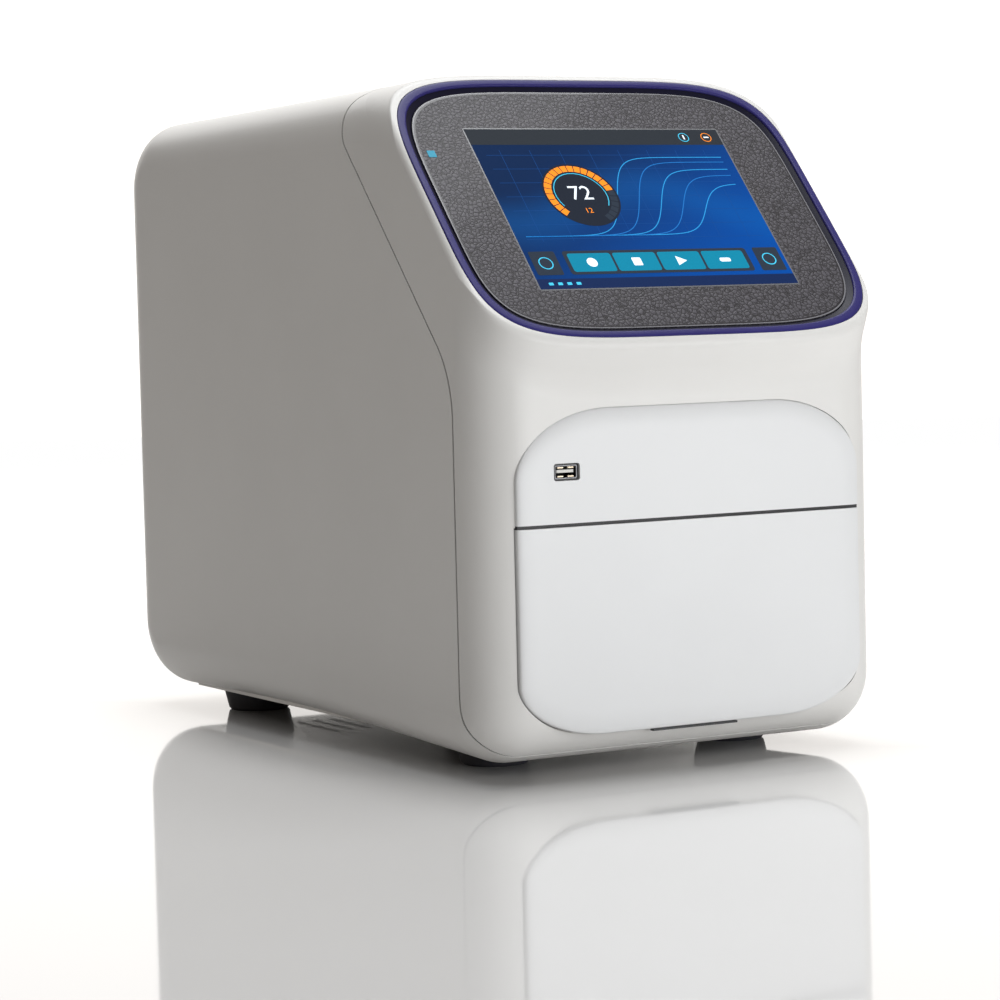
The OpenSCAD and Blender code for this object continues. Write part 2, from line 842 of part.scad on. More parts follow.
module drawer_tray() {
    color("gainsboro") difference() {
        union() {
            block([-tray_x, tray_y0, tray_z], [tray_x, tray_y1, tray_floor]);
            both_sides() block([tray_x - sheet, tray_y0, tray_z], [tray_x, tray_y1, tray_top_z]);
            block([-tray_x, tray_y0, tray_z], [tray_x, tray_y0 + sheet, tray_top_z]);
            block([-tray_x, tray_y1 - sheet, tray_z], [tray_x, tray_y1, tray_top_z]);
            for (y = [block_y - sink_d / 2, block_y + sink_d / 2 - cross_bar])
                block([-tray_x, y, sink_z0 - 8], [tray_x, y + cross_bar, sink_z0]);
        }
        translate([0, tray_y1 - sheet - over, block_fan_z]) rod_y(block_fan_w / 2 - 3, sheet + 2 * over);
        for (i = [-5:5])
            translate([14 * i - 3, tray_y0 + 24, tray_z - over]) cube([6, 12, sheet + 2 * over]);
    }
}

// Drawer front, with a plate behind it that fills the bay
module drawer_front() {
    color("white") {
        intersection() {
            panel_form();
            block([-half_w, rim_y, 0], [half_w, 0, slit_z - slit_gap / 2]);
        }
        block([-bay_w / 2 + 2, panel_back, bay_z0 + 2], [bay_w / 2 - 2, tray_y0, bay_z1 - 2]);
    }
}

// Outline of one rack tooth after another, as points of height and place
function rack_teeth(count) =
    let (m = gear_module, p = rack_pitch, tip = 0.25 * p - 0.41 * m, root = 0.25 * p + 0.30 * m)
    [for (i = [0:count - 1])
        each [[-m, i * p - root], [0.92 * m, i * p - tip], [0.92 * m, i * p + tip], [-m, i * p + root]]];

// Rack under the tray floor, long enough to stay on the pinion over the whole travel
module drawer_rack() {
    last = rack_pitch * (rack_teeth_n - 1);
    color("ivory") translate([rack_x, pinion_y - rack_pitch * rack_spare, tray_z - rack_h]) linear_extrude(rack_h)
        polygon(concat([[-rack_body, -3]], rack_teeth(rack_teeth_n), [[-rack_body, last + 3]]));
}

// Involute-like outline of a small spur gear
function gear_outline(teeth, m) =
    [for (i = [0:teeth - 1])
        let (r = m * teeth / 2, a = 360 * i / teeth, d = 360 / teeth)
        each [
            for (q = [[-0.37, -1.2], [-0.215, -0.1], [-0.08, 0.92], [0.08, 0.92], [0.215, -0.1], [0.37, -1.2]])
            [(r + q[1] * m) * cos(a + q[0] * d), (r + q[1] * m) * sin(a + q[0] * d)]
        ]];

// Pinion, turned so that a gap between two of its teeth faces a tooth of the rack
module drive_pinion() {
    color("ivory") translate([pinion_x, pinion_y, tray_z - rack_h]) {
        linear_extrude(rack_h - 0.5)
            rotate(180 + 180 / pinion_teeth) polygon(gear_outline(pinion_teeth, gear_module));
        translate([0, 0, -5]) cylinder(r = shaft_r, h = 5);
    }
}

module drawer_motor() {
    z1 = tray_z - rack_h - 0.6;
    w = 30;
    color("dimgray") translate([pinion_x, pinion_y, base_z1]) difference() {
        union() {
            pill_box([w, w, z1 - base_z1 - 1.5], 4);
            cylinder(r = 8, h = z1 - base_z1);
        }
        translate([0, 0, z1 - base_z1 - 5]) cylinder(r = shaft_r + shaft_gap, h = 6);
    }
}

// Tray cover with a raised nest that centres the sample plate round the block
module block_surround() {
    w = 2 * tray_x;
    hole_w = block_w + 1.2;
    hole_d = block_d + 1.2;
    color("#3c3e42") difference() {
        union() {
            block([-tray_x, tray_y0, tray_top_z], [tray_x, tray_y1, tray_top_z + 4]);
            translate([0, block_y, tray_top_z]) pill_box([hole_w + 24, hole_d + 22, block_top_z - tray_top_z + 2], 6);
        }
        translate([0, block_y, 0]) pill_box([hole_w, hole_d, deck_z], 2);
        translate([0, block_y, block_top_z - 3]) pill_box([hole_w + 18, hole_d + 9, 20], 3);
        both_sides() translate([w / 2 - 16, tray_y0 + 14, tray_top_z + 2.4]) cylinder(r = 4, h = 6);
        both_sides() translate([w / 2 - 16, tray_y1 - 14, tray_top_z + 2.4]) cylinder(r = 4, h = 6);
    }
}

// The block that holds the sample wells, with a tapered seat for each
module sample_block() {
    color("silver") translate([0, block_y, 0]) difference() {
        union() {
            translate([0, 0, block_z0]) pill_box([block_w, block_d, block_h], 3);
            translate([0, 0, block_z0 - block_flange]) pill_box([block_flange_w, block_flange_d, block_flange], 4);
        }
        for (i = [0:well_cols - 1], j = [0:well_rows - 1])
            translate([
                (i - (well_cols - 1) / 2) * well_pitch,
                (j - (well_rows - 1) / 2) * well_pitch,
                block_top_z - well_depth
            ]) {
                cylinder(r1 = well_tip_r, r2 = well_r, h = well_depth, $fn = 24);
                translate([0, 0, well_depth - 0.01]) cylinder(r = well_r, h = over, $fn = 24);
            }
    }
}

module heat_pump_modules() {
    cols = floor(block_flange_w / pump_w);
    rows = floor(block_flange_d / pump_w);
    color("white") for (i = [0:cols - 1], j = [0:rows - 1])
        translate([
            (i - (cols - 1) / 2) * block_flange_w / cols - pump_w / 2,
            block_y + (j - (rows - 1) / 2) * block_flange_d / rows - pump_w / 2,
            pump_z0
        ]) cube([pump_w, pump_w, pump_t]);
}

module heat_sink() {
    count = floor((sink_w - fin_t) / fin_pitch);
    color("lightgray") {
        block([-sink_w / 2, block_y - sink_d / 2, sink_z0], [sink_w / 2, block_y + sink_d / 2, pump_z0]);
        for (i = [0:count])
            translate([
                (i - count / 2) * fin_pitch - fin_t / 2,
                block_y - sink_d / 2 + cross_bar + 2,
                fin_z0
            ]) cube([fin_t, sink_d - 2 * cross_bar - 4, fin_depth + 0.1]);
    }
}

// Square frame of a fan, with its hub carried on four arms at the back
module fan_housing(w, t) {
    r = w / 2 - 2.5;
    hub = w * 0.2;
    difference() {
        rotate([-90, 0, 0]) pill_box([w, w, t], 5);
        translate([0, -over, 0]) rod_y(r, t + 2 * over);
        for (x = [-1, 1], z = [-1, 1])
            translate([x * (w / 2 - 4), -over, z * (w / 2 - 4)]) rod_y(1.7, t + 2 * over);
    }
    difference() {
        rod_y(hub, 3);
        translate([0, 1, 0]) rod_y(2 + shaft_gap, 10);
    }
    for (a = [45:90:315])
        rotate([0, a, 0]) translate([hub - 1, 0.4, -1.6]) cube([r - hub + 1.6, 2.2, 3.2]);
}

// Hub with pitched blades and a short shaft
module fan_rotor(w, t) {
    r = w / 2 - 3.6;
    translate([0, 3.6, 0]) rod_y(w * 0.2, t - 5);
    translate([0, 1.2, 0]) rod_y(2, 4);
    for (i = [0:blades - 1])
        rotate([0, 360 * i / blades, 0]) translate([w * 0.19, t / 2 + 1, 0])
            rotate([38, 0, 0]) translate([0, -0.8, -t * 0.36]) cube([r - w * 0.19, 1.6, t * 0.72]);
}

module block_fan_housing() {
    color("#303236") translate([0, block_fan_y0, block_fan_z]) fan_housing(block_fan_w, fan_t);
}

module block_fan_rotor() {
    color("#303236") translate([0, block_fan_y0, block_fan_z]) fan_rotor(block_fan_w, fan_t);
}

// Heated plate, drilled over every well so that the light can pass
module heated_plate() {
    color("silver") translate([0, block_y, cover_z0]) difference() {
        pill_box([block_w + 12, block_d + 8, cover_t], 4);
        for (i = [0:well_cols - 1], j = [0:well_rows - 1])
            translate([(i - (well_cols - 1) / 2) * well_pitch, (j - (well_rows - 1) / 2) * well_pitch, -over])
                cylinder(r = light_r, h = cover_t + 2 * over, $fn = 20);
    }
}

// Frame over the heated plate, with a nut boss on each side for the lift screws
module cover_carriage() {
    color("#3c3e42") translate([0, block_y, carriage_z0]) difference() {
        union() {
            pill_box([block_w + 20, block_d + 14, carriage_t], 6);
            both_sides() {
                block([block_w / 2, -14, 0], [screw_x, 14, carriage_t]);
                translate([screw_x, 0, 0]) cylinder(r = screw_r + 5, h = carriage_t);
            }
        }
        translate([0, 0, -over]) pill_box([block_w + 2, block_d + 2, carriage_t + 2 * over], 3);
        both_sides() translate([screw_x, 0, -over]) cylinder(r = screw_r + shaft_gap, h = carriage_t + 2 * over);
    }
}

module lift_screw(side) {
    color("gray") translate([side * screw_x, block_y, 0]) {
        translate([0, 0, screw_z0]) cylinder(r = screw_r, h = deck_top + 6 - screw_z0);
        translate([0, 0, screw_z0 - 1.5]) cylinder(r1 = screw_r - 1, r2 = screw_r, h = 1.5);
        translate([0, 0, deck_z - 6.4]) cylinder(r = screw_r + 2, h = 1.1);
    }
}

module lift_screw_left() { lift_screw(-1); }
module lift_screw_right() { lift_screw(1); }

module lift_motors() {
    color("dimgray") both_sides() translate([screw_x, block_y, deck_top]) difference() {
        union() {
            pill_box([lift_motor_w, lift_motor_w, lift_motor_h], 4);
            translate([-4, -lift_motor_w / 2 - 3, 4]) cube([8, 4, 8]);
        }
        translate([0, 0, -over]) cylinder(r = screw_r + shaft_gap, h = 8);
    }
}

// Side outline of the light path: up from the block, then back through the filters
function optics_outline(g) = [
    [shaft_y0 + g, deck_top - (g > 0 ? over : 0)],
    [shaft_y1 - g, deck_top - (g > 0 ? over : 0)],
    [shaft_y1 - g, tunnel_z0 + g],
    [tunnel_y1 - g, tunnel_z0 + g],
    [tunnel_y1 - g, tunnel_z1 - g],
    [shaft_y0 + mirror_rise + 0.414 * g, tunnel_z1 - g],
    [shaft_y0 + g, tunnel_z1 - mirror_rise - 0.414 * g]
];

module optics_housing() {
    color("#26282c") difference() {
        along_x(-optics_x, optics_x) polygon(optics_outline(0));
        along_x(-optics_x + optics_wall, optics_x - optics_wall) polygon(optics_outline(optics_wall));
        translate([0, tunnel_y1 - optics_wall - over, path_z]) rod_y(em_window_r, optics_wall + 2 * over);
        translate([optics_x - optics_wall - over, splitter_y, path_z]) rod_x(ex_window_r, optics_wall + 2 * over);
    }
    color("#26282c") {
        for (y = [shaft_y0 + optics_wall, shaft_y1 - optics_wall - 3])
            block([-optics_x + optics_wall, y, deck_top + 8], [optics_x - optics_wall, y + 3, deck_top + 11]);
    }
}

// Flat lens over the block, ruled with rings
module field_lens() {
    w = optics_w - 2 * optics_wall - 0.4;
    d = shaft_y1 - shaft_y0 - 2 * optics_wall - 0.4;
    color("lightcyan", 0.5) translate([0, block_y, deck_top + 11.05]) difference() {
        translate([-w / 2, -d / 2, 0]) cube([w, d, 2.5]);
        for (r = [8:8:40])
            translate([0, 0, 2]) rotate_extrude() translate([r, 0]) square([1.2, 2]);
    }
}

module fold_mirror() {
    l = mirror_rise * sqrt(2) - 10;
    color("aliceblue") translate([0, shaft_y0 + mirror_rise / 2, tunnel_z1 - mirror_rise / 2])
        rotate([45, 0, 0]) translate([-optics_x + 8, -l / 2, -optics_wall - 3.1]) cube([optics_w - 16, l, 3]);
}

module beam_splitter() {
    color("lightcyan", 0.5) translate([0, splitter_y, tunnel_z0 + optics_wall + 0.05])
        rotate(45) translate([-42, -1, 0]) cube([84, 2, tunnel_h - 2 * optics_wall - 0.1]);
}

// Bracket beside the optics housing, which carries the lamp and the excitation motor
module excitation_bracket() {
    y0 = splitter_y - led_w / 2 - 10;
    color("silver") {
        difference() {
            along_x(ex_plate_x, ex_plate_x + sheet) polygon([
                [y0, path_z - 34], [y0, path_z + 34], [ex_axis_y + 28, path_z + 34], [ex_axis_y + 28, deck_top],
                [ex_axis_y - 12, deck_top], [ex_axis_y - 12, path_z - 34]
            ]);
            translate([ex_plate_x - over, splitter_y, path_z]) rod_x(filter_r + 2, sheet + 2 * over);
            translate([ex_plate_x - over, ex_axis_y, path_z]) rod_x(shaft_r + 2, sheet + 2 * over);
        }
        block([ex_plate_x - 6, ex_axis_y - 12, deck_top], [ex_plate_x, ex_axis_y + 28, deck_top + sheet]);
    }
}

// A filter wheel on its shaft, about the Y axis, with its first filter at an angle
module filter_wheel(shaft_len) {
    difference() {
        rod_y(wheel_r, wheel_t);
        for (i = [0:filters - 1])
            rotate([0, 360 * i / filters, 0]) translate([filter_ring_r, 0, 0]) {
                translate([0, -over, 0]) rod_y(filter_r - 1, wheel_t + 2 * over);
                translate([0, 1, 0]) rod_y(filter_r, wheel_t + over);
            }
    }
    translate([0, wheel_t - 0.1, 0]) rod_y(shaft_r + 3, 2);
    rod_y(shaft_r, shaft_len);
}

module wheel_filters(tints) {
    for (i = [0:filters - 1])
        color(tints[i % len(tints)], 0.7)
            rotate([0, 360 * i / filters, 0]) translate([filter_ring_r, 1.02, 0]) rod_y(filter_r - 0.06, wheel_t - 1.4);
}

// A square stepping motor about the Y axis, with a bore for its shaft
module stepper(w, l) {
    difference() {
        union() {
            rotate([-90, 0, 0]) pill_box([w, w, l], 3);
            translate([-5, l - 9, w / 2 - 0.1]) cube([10, 7, 4]);
        }
        translate([0, -over, 0]) rod_y(shaft_r + shaft_gap, l * 0.5);
    }
}

// Turns a mechanism about the Y axis so that it points along X
module facing_x() {
    rotate([0, 0, -90]) children();
}

module excitation_wheel() {
    color("#303236") translate([ex_wheel_x, ex_axis_y, path_z]) facing_x() filter_wheel(wheel_t + 16);
}

module excitation_filters() {
    translate([ex_wheel_x, ex_axis_y, path_z]) facing_x() wheel_filters(["royalblue", "teal", "green", "gold"]);
}

module excitation_motor() {
    color("dimgray") translate([ex_plate_x + sheet, ex_axis_y, path_z]) facing_x() stepper(stepper_w, stepper_l);
}

// Lamp for the excitation light, on a finned cooler
module led_module() {
    x0 = ex_plate_x + sheet;
    color("lightgray") translate([x0, splitter_y, path_z]) {
        difference() {
            block([0, -led_w / 2, -led_w / 2], [8, led_w / 2 - 2.4, led_w / 2]);
            translate([-over, 0, 0]) rod_x(filter_r - 1, 5);
        }
        translate([4, 0, 0]) rod_x(4, 1);
        for (i = [0:5])
            block([7.9, -led_w / 2, -led_w / 2 + i * 6], [28, led_w / 2 - 2.4, -led_w / 2 + i * 6 + 2]);
    }
}

// Bracket behind the optics housing, which carries the camera and the emission motor
module emission_bracket() {
    color("silver") {
        difference() {
            along_y(em_plate_y, em_plate_y + sheet)
                translate([em_axis_x - 30, deck_top]) square([90, path_z + 30 - deck_top]);
            translate([0, em_plate_y - over, path_z]) rod_y(lens_r - 2, sheet + 2 * over);
            translate([em_axis_x, em_plate_y - over, path_z]) rod_y(shaft_r + 2, sheet + 2 * over);
        }
        block([em_axis_x - 30, em_plate_y, deck_top], [em_axis_x + 60, em_plate_y + 14, deck_top + sheet]);
        block(
            [-camera_w / 2, em_plate_y + sheet, path_z - camera_w / 2 - sheet],
            [camera_w / 2, em_plate_y + sheet + lens_len + camera_len, path_z - camera_w / 2]
        );
    }
}

module emission_motor() {
    color("dimgray") translate([em_axis_x, em_plate_y + sheet, path_z]) stepper(stepper_w - 2, stepper_l - 2);
}

module emission_wheel() {
    color("#303236") translate([em_axis_x, em_wheel_y, path_z]) filter_wheel(wheel_t + 16);
}

module emission_filters() {
    translate([em_axis_x, em_wheel_y, path_z]) wheel_filters(["seagreen", "gold", "orange", "firebrick"]);
}

// Camera with its lens barrel
module camera() {
    y0 = em_plate_y + sheet;
    color("#303236") translate([0, y0, path_z]) {
        difference() {
            union() {
                rod_y(lens_r, lens_len);
                translate([0, 6, 0]) rod_y(lens_r + 0.8, 5);
            }
            translate([0, -over, 0]) rod_y(lens_r - 2.5, 7);
        }
        difference() {
            block([-camera_w / 2, lens_len, -camera_w / 2], [camera_w / 2, lens_len + camera_len, camera_w / 2]);
            for (i = [0:6])
                block([-camera_w, lens_len + 5 + 6 * i, 16], [camera_w, lens_len + 7 + 6 * i, camera_w]);
        }
    }
}

// Slots that fill a circle, cut through the rear panel
module grille_cut(r) {
    n = floor(r / slot_pitch);
    for (i = [-n:n])
        let (z = i * slot_pitch, w = sqrt(max(1, r * r - z * z)))
        block([-w, -over, z - slot_w / 2], [w, sheet + over, z + slot_w / 2]);
}

// Sheet-metal rear wall, folded forward at its foot to stand on the base
module rear_panel() {
    w = rear_open_w / 2 + rear_margin;
    z0 = rear_open_z0 - rear_margin;
    leg_w = base_half_w - sheet - slide_gap;
    color("gainsboro") difference() {
        union() {
            block([-w, rear_panel_y0, z0], [w, rear_panel_y1, rear_open_z1 + rear_margin]);
            block([-leg_w, base_y1 - 10, z0], [leg_w, rear_panel_y0, z0 + sheet]);
            block([-leg_w, base_y1 - 10, base_z1], [leg_w, base_y1 - 10 + sheet, z0]);
        }
        for (x = [-fan_x, fan_x])
            translate([x, rear_panel_y0, fan_z]) grille_cut(fan_w / 2 - 4);
        translate([0, rear_panel_y0, 0]) {
            along_y(-over, sheet + over) translate([inlet_x, inlet_z]) square([inlet_w, inlet_h], center = true);
            along_y(-over, sheet + over) translate([inlet_x, fuse_z]) square([inlet_w, 14], center = true);
            along_y(-over, sheet + over) translate([rocker_x, inlet_z]) square([rocker_w, rocker_h], center = true);
            along_y(-over, sheet + over) translate([lan_x, lan_z]) square([16, 14], center = true);
            for (i = [0, 1])
                along_y(-over, sheet + over) translate([usb_x + 20 * i, lan_z]) square([14.4, 7], center = true);
        }
    }
}

// Mains inlet with three flat pins, set into the rear panel
module power_inlet() {
    y1 = rear_panel_y1 + 1.5;
    color("#202226") translate([inlet_x, 0, inlet_z]) difference() {
        union() {
            along_y(rear_panel_y0 - 24, y1) square([inlet_w - 0.6, inlet_h - 0.6], center = true);
            along_y(rear_panel_y1 + 0.05, y1) difference() {
                translate([0, 8.5]) square([inlet_w + 6, inlet_h + 23], center = true);
                translate([0, fuse_z - inlet_z]) square([fuse_w + 0.6, fuse_h + 0.6], center = true);
            }
            along_y(rear_panel_y0 - 20, rear_panel_y1 + 0.1) difference() {
                translate([0, fuse_z - inlet_z]) square([inlet_w - 0.6, 13.4], center = true);
                translate([0, fuse_z - inlet_z]) square([fuse_w + 0.6, fuse_h + 0.6], center = true);
            }
            along_y(rear_panel_y0 - 22, rear_panel_y0 - 19)
                translate([0, fuse_z - inlet_z]) square([inlet_w - 0.6, 13.4], center = true);
        }
        along_y(y1 - 18, y1 + over) polygon([[-9, -7.6], [9, -7.6], [12, -4], [12, 7.6], [-12, 7.6], [-12, -4]]);
    }
    color("silver") for (p = [[-7, -1.5], [0, 2.5], [7, -1.5]])
        translate([inlet_x, 0, inlet_z]) along_y(y1 - 18.4, y1 - 3) translate(p) square([2, 5], center = true);
}

module fuse_drawer() {
    color("#2c2e32") translate([inlet_x, 0, fuse_z]) {
        along_y(rear_panel_y0 - 18.7, rear_panel_y1 + 1.2) square([fuse_w, fuse_h], center = true);
        along_y(rear_panel_y1 + 1.2, rear_panel_y1 + 2.6) square([fuse_w - 4, fuse_h - 2.6], center = true);
    }
}

// Rocker of the power switch, a shallow V that tips about its middle
module power_rocker() {
    color("#202226") translate([rocker_x, rear_panel_y1 - 0.6, inlet_z]) {
        along_x(-rocker_w / 2 + 1.6, rocker_w / 2 - 1.6)
            polygon([[-5, -6.4], [1.2, -7.6], [3.6, -7.2], [1.9, 0], [1.2, 7.6], [-5, 6.4]]);
        translate([-rocker_w / 2 + 0.9, -2, 0]) rod_x(1.5, rocker_w - 1.8);
    }
}

// Socket body with its cavity open to the rear
module socket_shell(w, h, depth, hole_w, hole_h) {
    difference() {
        along_y(rear_panel_y0 - depth, rear_panel_y1 + 0.6) square([w, h], center = true);
        along_y(rear_panel_y0 - depth + 3, rear_panel_y1 + 2) square([hole_w, hole_h], center = true);
    }
}

module network_socket() {
    color("silver") translate([lan_x, 0, lan_z]) {
        socket_shell(15.6, 13.6, 14, 11.8, 8.4);
        for (i = [0:7])
            along_y(rear_panel_y0 - 11.4, rear_panel_y1 - 4) translate([-4.4 + 1.25 * i, 3.9]) square([0.6, 0.7]);
    }
}

module rear_usb_ports() {
    color("silver") for (i = [0, 1])
        translate([usb_x + 20 * i, 0, lan_z]) {
            socket_shell(14, 6.6, 16, 12.6, 5.2);
            along_y(rear_panel_y0 - 13.4, rear_panel_y1 - 1) translate([0, 0.9]) square([11, 1.8], center = true);
        }
}

module exhaust_fan_housings() {
    color("#303236") for (x = [-fan_x, fan_x])
        translate([x, rear_panel_y0 - fan_t, fan_z]) fan_housing(fan_w, fan_t);
}

module exhaust_rotor_left() {
    color("#303236") translate([-fan_x, rear_panel_y0 - fan_t, fan_z]) fan_rotor(fan_w, fan_t);
}

module exhaust_rotor_right() {
    color("#303236") translate([fan_x, rear_panel_y0 - fan_t, fan_z]) fan_rotor(fan_w, fan_t);
}

// Power supply in a slotted steel case, on the base
module power_supply() {
    x0 = -frame_x + foot_flange;
    y0 = bay_rear;
    l = supply_rear - y0;
    color("silver") difference() {
        block([x0, y0, base_z1], [x0 + 92, y0 + l, base_z1 + 46]);
        for (i = [0:11])
            block([x0 + 12, y0 + l * (i + 1.3) / 13, base_z1 + 42], [x0 + 80, y0 + l * (i + 1.7) / 13, base_z1 + 50]);
        for (i = [0:9])
            block([x0 + 88, y0 + l * (i + 1.3) / 11, base_z1 + 8], [x0 + 96, y0 + l * (i + 1.6) / 11, base_z1 + 36]);
    }
}

// Control board on four posts, beside the power supply
module main_board() {
    x0 = 14;
    y0 = bay_rear + 8;
    w = frame_x - foot_flange - 2 - x0;
    l = supply_rear - 1 - y0;
    z = base_z1 + 8;
    color("darkgreen") {
        block([x0, y0, z], [x0 + w, y0 + l, z + 1.6]);
        for (x = [x0 + 5, x0 + w - 5], y = [y0 + 5, y0 + l - 6])
            translate([x, y, base_z1]) cylinder(r = 3, h = 8);
        block([x0 + 20, y0 + 0.28 * l, z + 1.5], [x0 + 52, y0 + 0.5 * l, z + 5]);
        block([x0 + 12, y0 + 0.66 * l, z + 1.5], [x0 + 60, y0 + 0.73 * l, z + 12]);
        for (i = [0:4])
            translate([x0 + 14 + 13 * i, y0 + 0.15 * l, z + 1.5]) cylinder(r = 4, h = 12);
        for (i = [0:5])
            block([x0 + 10 + 10 * i, y0 + 0.88 * l, z + 1.5], [x0 + 17 + 10 * i, y0 + 0.97 * l, z + 10]);
    }
}

rear_cover();
front_bezel();
screen_trim_ring();
touch_panel();
display_module();
display_bracket();
display_board();
status_light();
upper_fascia();
front_usb_port();
base_chassis();
rubber_feet();
foot_screws();
side_frames();
optics_deck();
rear_panel();
power_inlet();
fuse_drawer();
power_rocker();
network_socket();
rear_usb_ports();
exhaust_fan_housings();
exhaust_rotor_left();
exhaust_rotor_right();
power_supply();
main_board();
fixed_rails();
drawer_motor();
drive_pinion();
drawer_front();
drawer_tray();
moving_rails();
drawer_rack();
block_surround();
sample_block();
heat_pump_modules();
heat_sink();
block_fan_housing();
block_fan_rotor();
heated_plate();
cover_carriage();
lift_screw_left();
lift_screw_right();
lift_motors();
optics_housing();
field_lens();
fold_mirror();
beam_splitter();
excitation_bracket();
excitation_motor();
excitation_wheel();
excitation_filters();
led_module();
emission_bracket();
emission_motor();
emission_wheel();
emission_filters();
camera();
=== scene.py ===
"""Looks of a real-time PCR machine: moulded covers, slanted touch screen and motorised drawer.

The constructed model supplies the frame, the mechanisms and the collision. This script adds the smooth
moulded skins, the picture on the display and every finish. Lengths in the shape classes are millimetres,
as in the construction, and become metres where a mesh is made.
"""

import json
import logging
import math
from dataclasses import dataclass, field
from enum import Enum
from typing import Callable, Sequence

import bpy
import numpy as np
from mathutils import Matrix


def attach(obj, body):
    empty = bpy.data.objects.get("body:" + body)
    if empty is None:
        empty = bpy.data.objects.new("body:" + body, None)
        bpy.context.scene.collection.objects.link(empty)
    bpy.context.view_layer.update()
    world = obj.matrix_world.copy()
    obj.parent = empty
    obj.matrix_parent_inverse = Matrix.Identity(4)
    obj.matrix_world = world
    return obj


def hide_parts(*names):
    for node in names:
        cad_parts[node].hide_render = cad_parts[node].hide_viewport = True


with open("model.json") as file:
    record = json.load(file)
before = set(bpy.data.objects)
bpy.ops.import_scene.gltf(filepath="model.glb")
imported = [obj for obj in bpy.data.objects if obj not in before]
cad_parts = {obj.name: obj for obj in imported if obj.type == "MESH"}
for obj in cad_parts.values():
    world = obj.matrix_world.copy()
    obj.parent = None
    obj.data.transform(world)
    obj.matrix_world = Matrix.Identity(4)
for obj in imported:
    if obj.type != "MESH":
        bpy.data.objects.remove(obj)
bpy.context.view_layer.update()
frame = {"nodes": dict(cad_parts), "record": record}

Piece = bpy.types.Object
Tree = bpy.types.NodeTree
Pair = tuple[float, float]
Triple = tuple[float, float, float]

LOG = logging.getLogger("scene")
MM = 0.001
ROOT = "instrument"
DRAWER = "drawer"


# Shader nodes


def add_node(tree: Tree, kind: str, settings: dict | None = None,
             values: dict | None = None) -> bpy.types.Node:
    """Adds one node to a tree.

    Args:
        tree: tree that gets the node.
        kind: type of the node.
        settings: the node's own settings by name, which are set first.
        values: what each input gets, by its name or number: a Sock, a plain socket or a constant.

    Returns:
        The node.
    """
    node = tree.nodes.new(kind)
    for name, value in (settings or {}).items():
        setattr(node, name, value)
    for name, value in (values or {}).items():
        place = node.inputs[name]
        if isinstance(value, Sock):
            tree.links.new(value.socket, place)
        elif isinstance(value, bpy.types.NodeSocket):
            tree.links.new(value, place)
        else:
            place.default_value = value
    return node


class Sock:
    """A shader socket that can be added, multiplied and compared like a number."""

    # Numbers of the Mix node's two colour inputs and of its colour output
    FIRST, SECOND, MIXED = 6, 7, 2

    def __init__(self, tree: Tree, socket: bpy.types.NodeSocket) -> None:
        """Wraps one socket of a tree."""
        self.tree = tree
        self.socket = socket

    def _math(self, operation: str, other: "Sock | float | None" = None, swap: bool = False) -> "Sock":
        """Joins this socket and other through one Math node.

        Args:
            operation: name of the Math node's operation.
            other: second operand, a socket or a constant.
            swap: True puts other first.

        Returns:
            The Math node's value.
        """
        operands = [self] if other is None else [self, other]
        values = dict(enumerate(reversed(operands) if swap else operands))
        node = add_node(self.tree, "ShaderNodeMath", {"operation": operation}, values)
        return Sock(self.tree, node.outputs[0])

    def __add__(self, other: "Sock | float") -> "Sock":
        """Sum."""
        return self._math("ADD", other)

    def __sub__(self, other: "Sock | float") -> "Sock":
        """Difference."""
        return self._math("SUBTRACT", other)

    def __rsub__(self, other: float) -> "Sock":
        """Difference from a number."""
        return self._math("SUBTRACT", other, swap=True)

    def __mul__(self, other: "Sock | float") -> "Sock":
        """Product."""
        return self._math("MULTIPLY", other)

    def __truediv__(self, other: "Sock | float") -> "Sock":
        """Quotient."""
        return self._math("DIVIDE", other)

    # A number may stand in front of a sum or a product
    __radd__ = __add__
    __rmul__ = __mul__

    def __abs__(self) -> "Sock":
        """Value without its sign."""
        return self._math("ABSOLUTE")

    def sine(self) -> "Sock":
        """Sine of the value in radians."""
        return self._math("SINE")

    def highest(self, other: "Sock | float") -> "Sock":
        """The greater of the two values."""
        return self._math("MAXIMUM", other)

    def ramp(self, low: float, high: float) -> "Sock":
        """0 below low, 1 above high, and smooth in between."""
        values = {"Value": self, "From Min": low, "From Max": high}
        node = add_node(self.tree, "ShaderNodeMapRange", {"interpolation_type": "SMOOTHSTEP"}, values)
        return Sock(self.tree, node.outputs[0])

    def mix(self, first: "Sock | Triple", second: "Sock | Triple") -> "Sock":
        """Colour that goes from first at 0 to second at 1."""
        first, second = (c if isinstance(c, Sock) else (*c, 1.0) for c in (first, second))
        values = {"Factor": self, self.FIRST: first, self.SECOND: second}
        node = add_node(self.tree, "ShaderNodeMix", {"data_type": "RGBA"}, values)
        return Sock(self.tree, node.outputs[self.MIXED])


# Finishes


class Grain(Enum):
    """What the surface looks like from close by."""

    PLAIN = "plain"
    MOULDED = "moulded"
    BRUSHED = "brushed"
    CAST = "cast"
    CRAZED = "crazed"


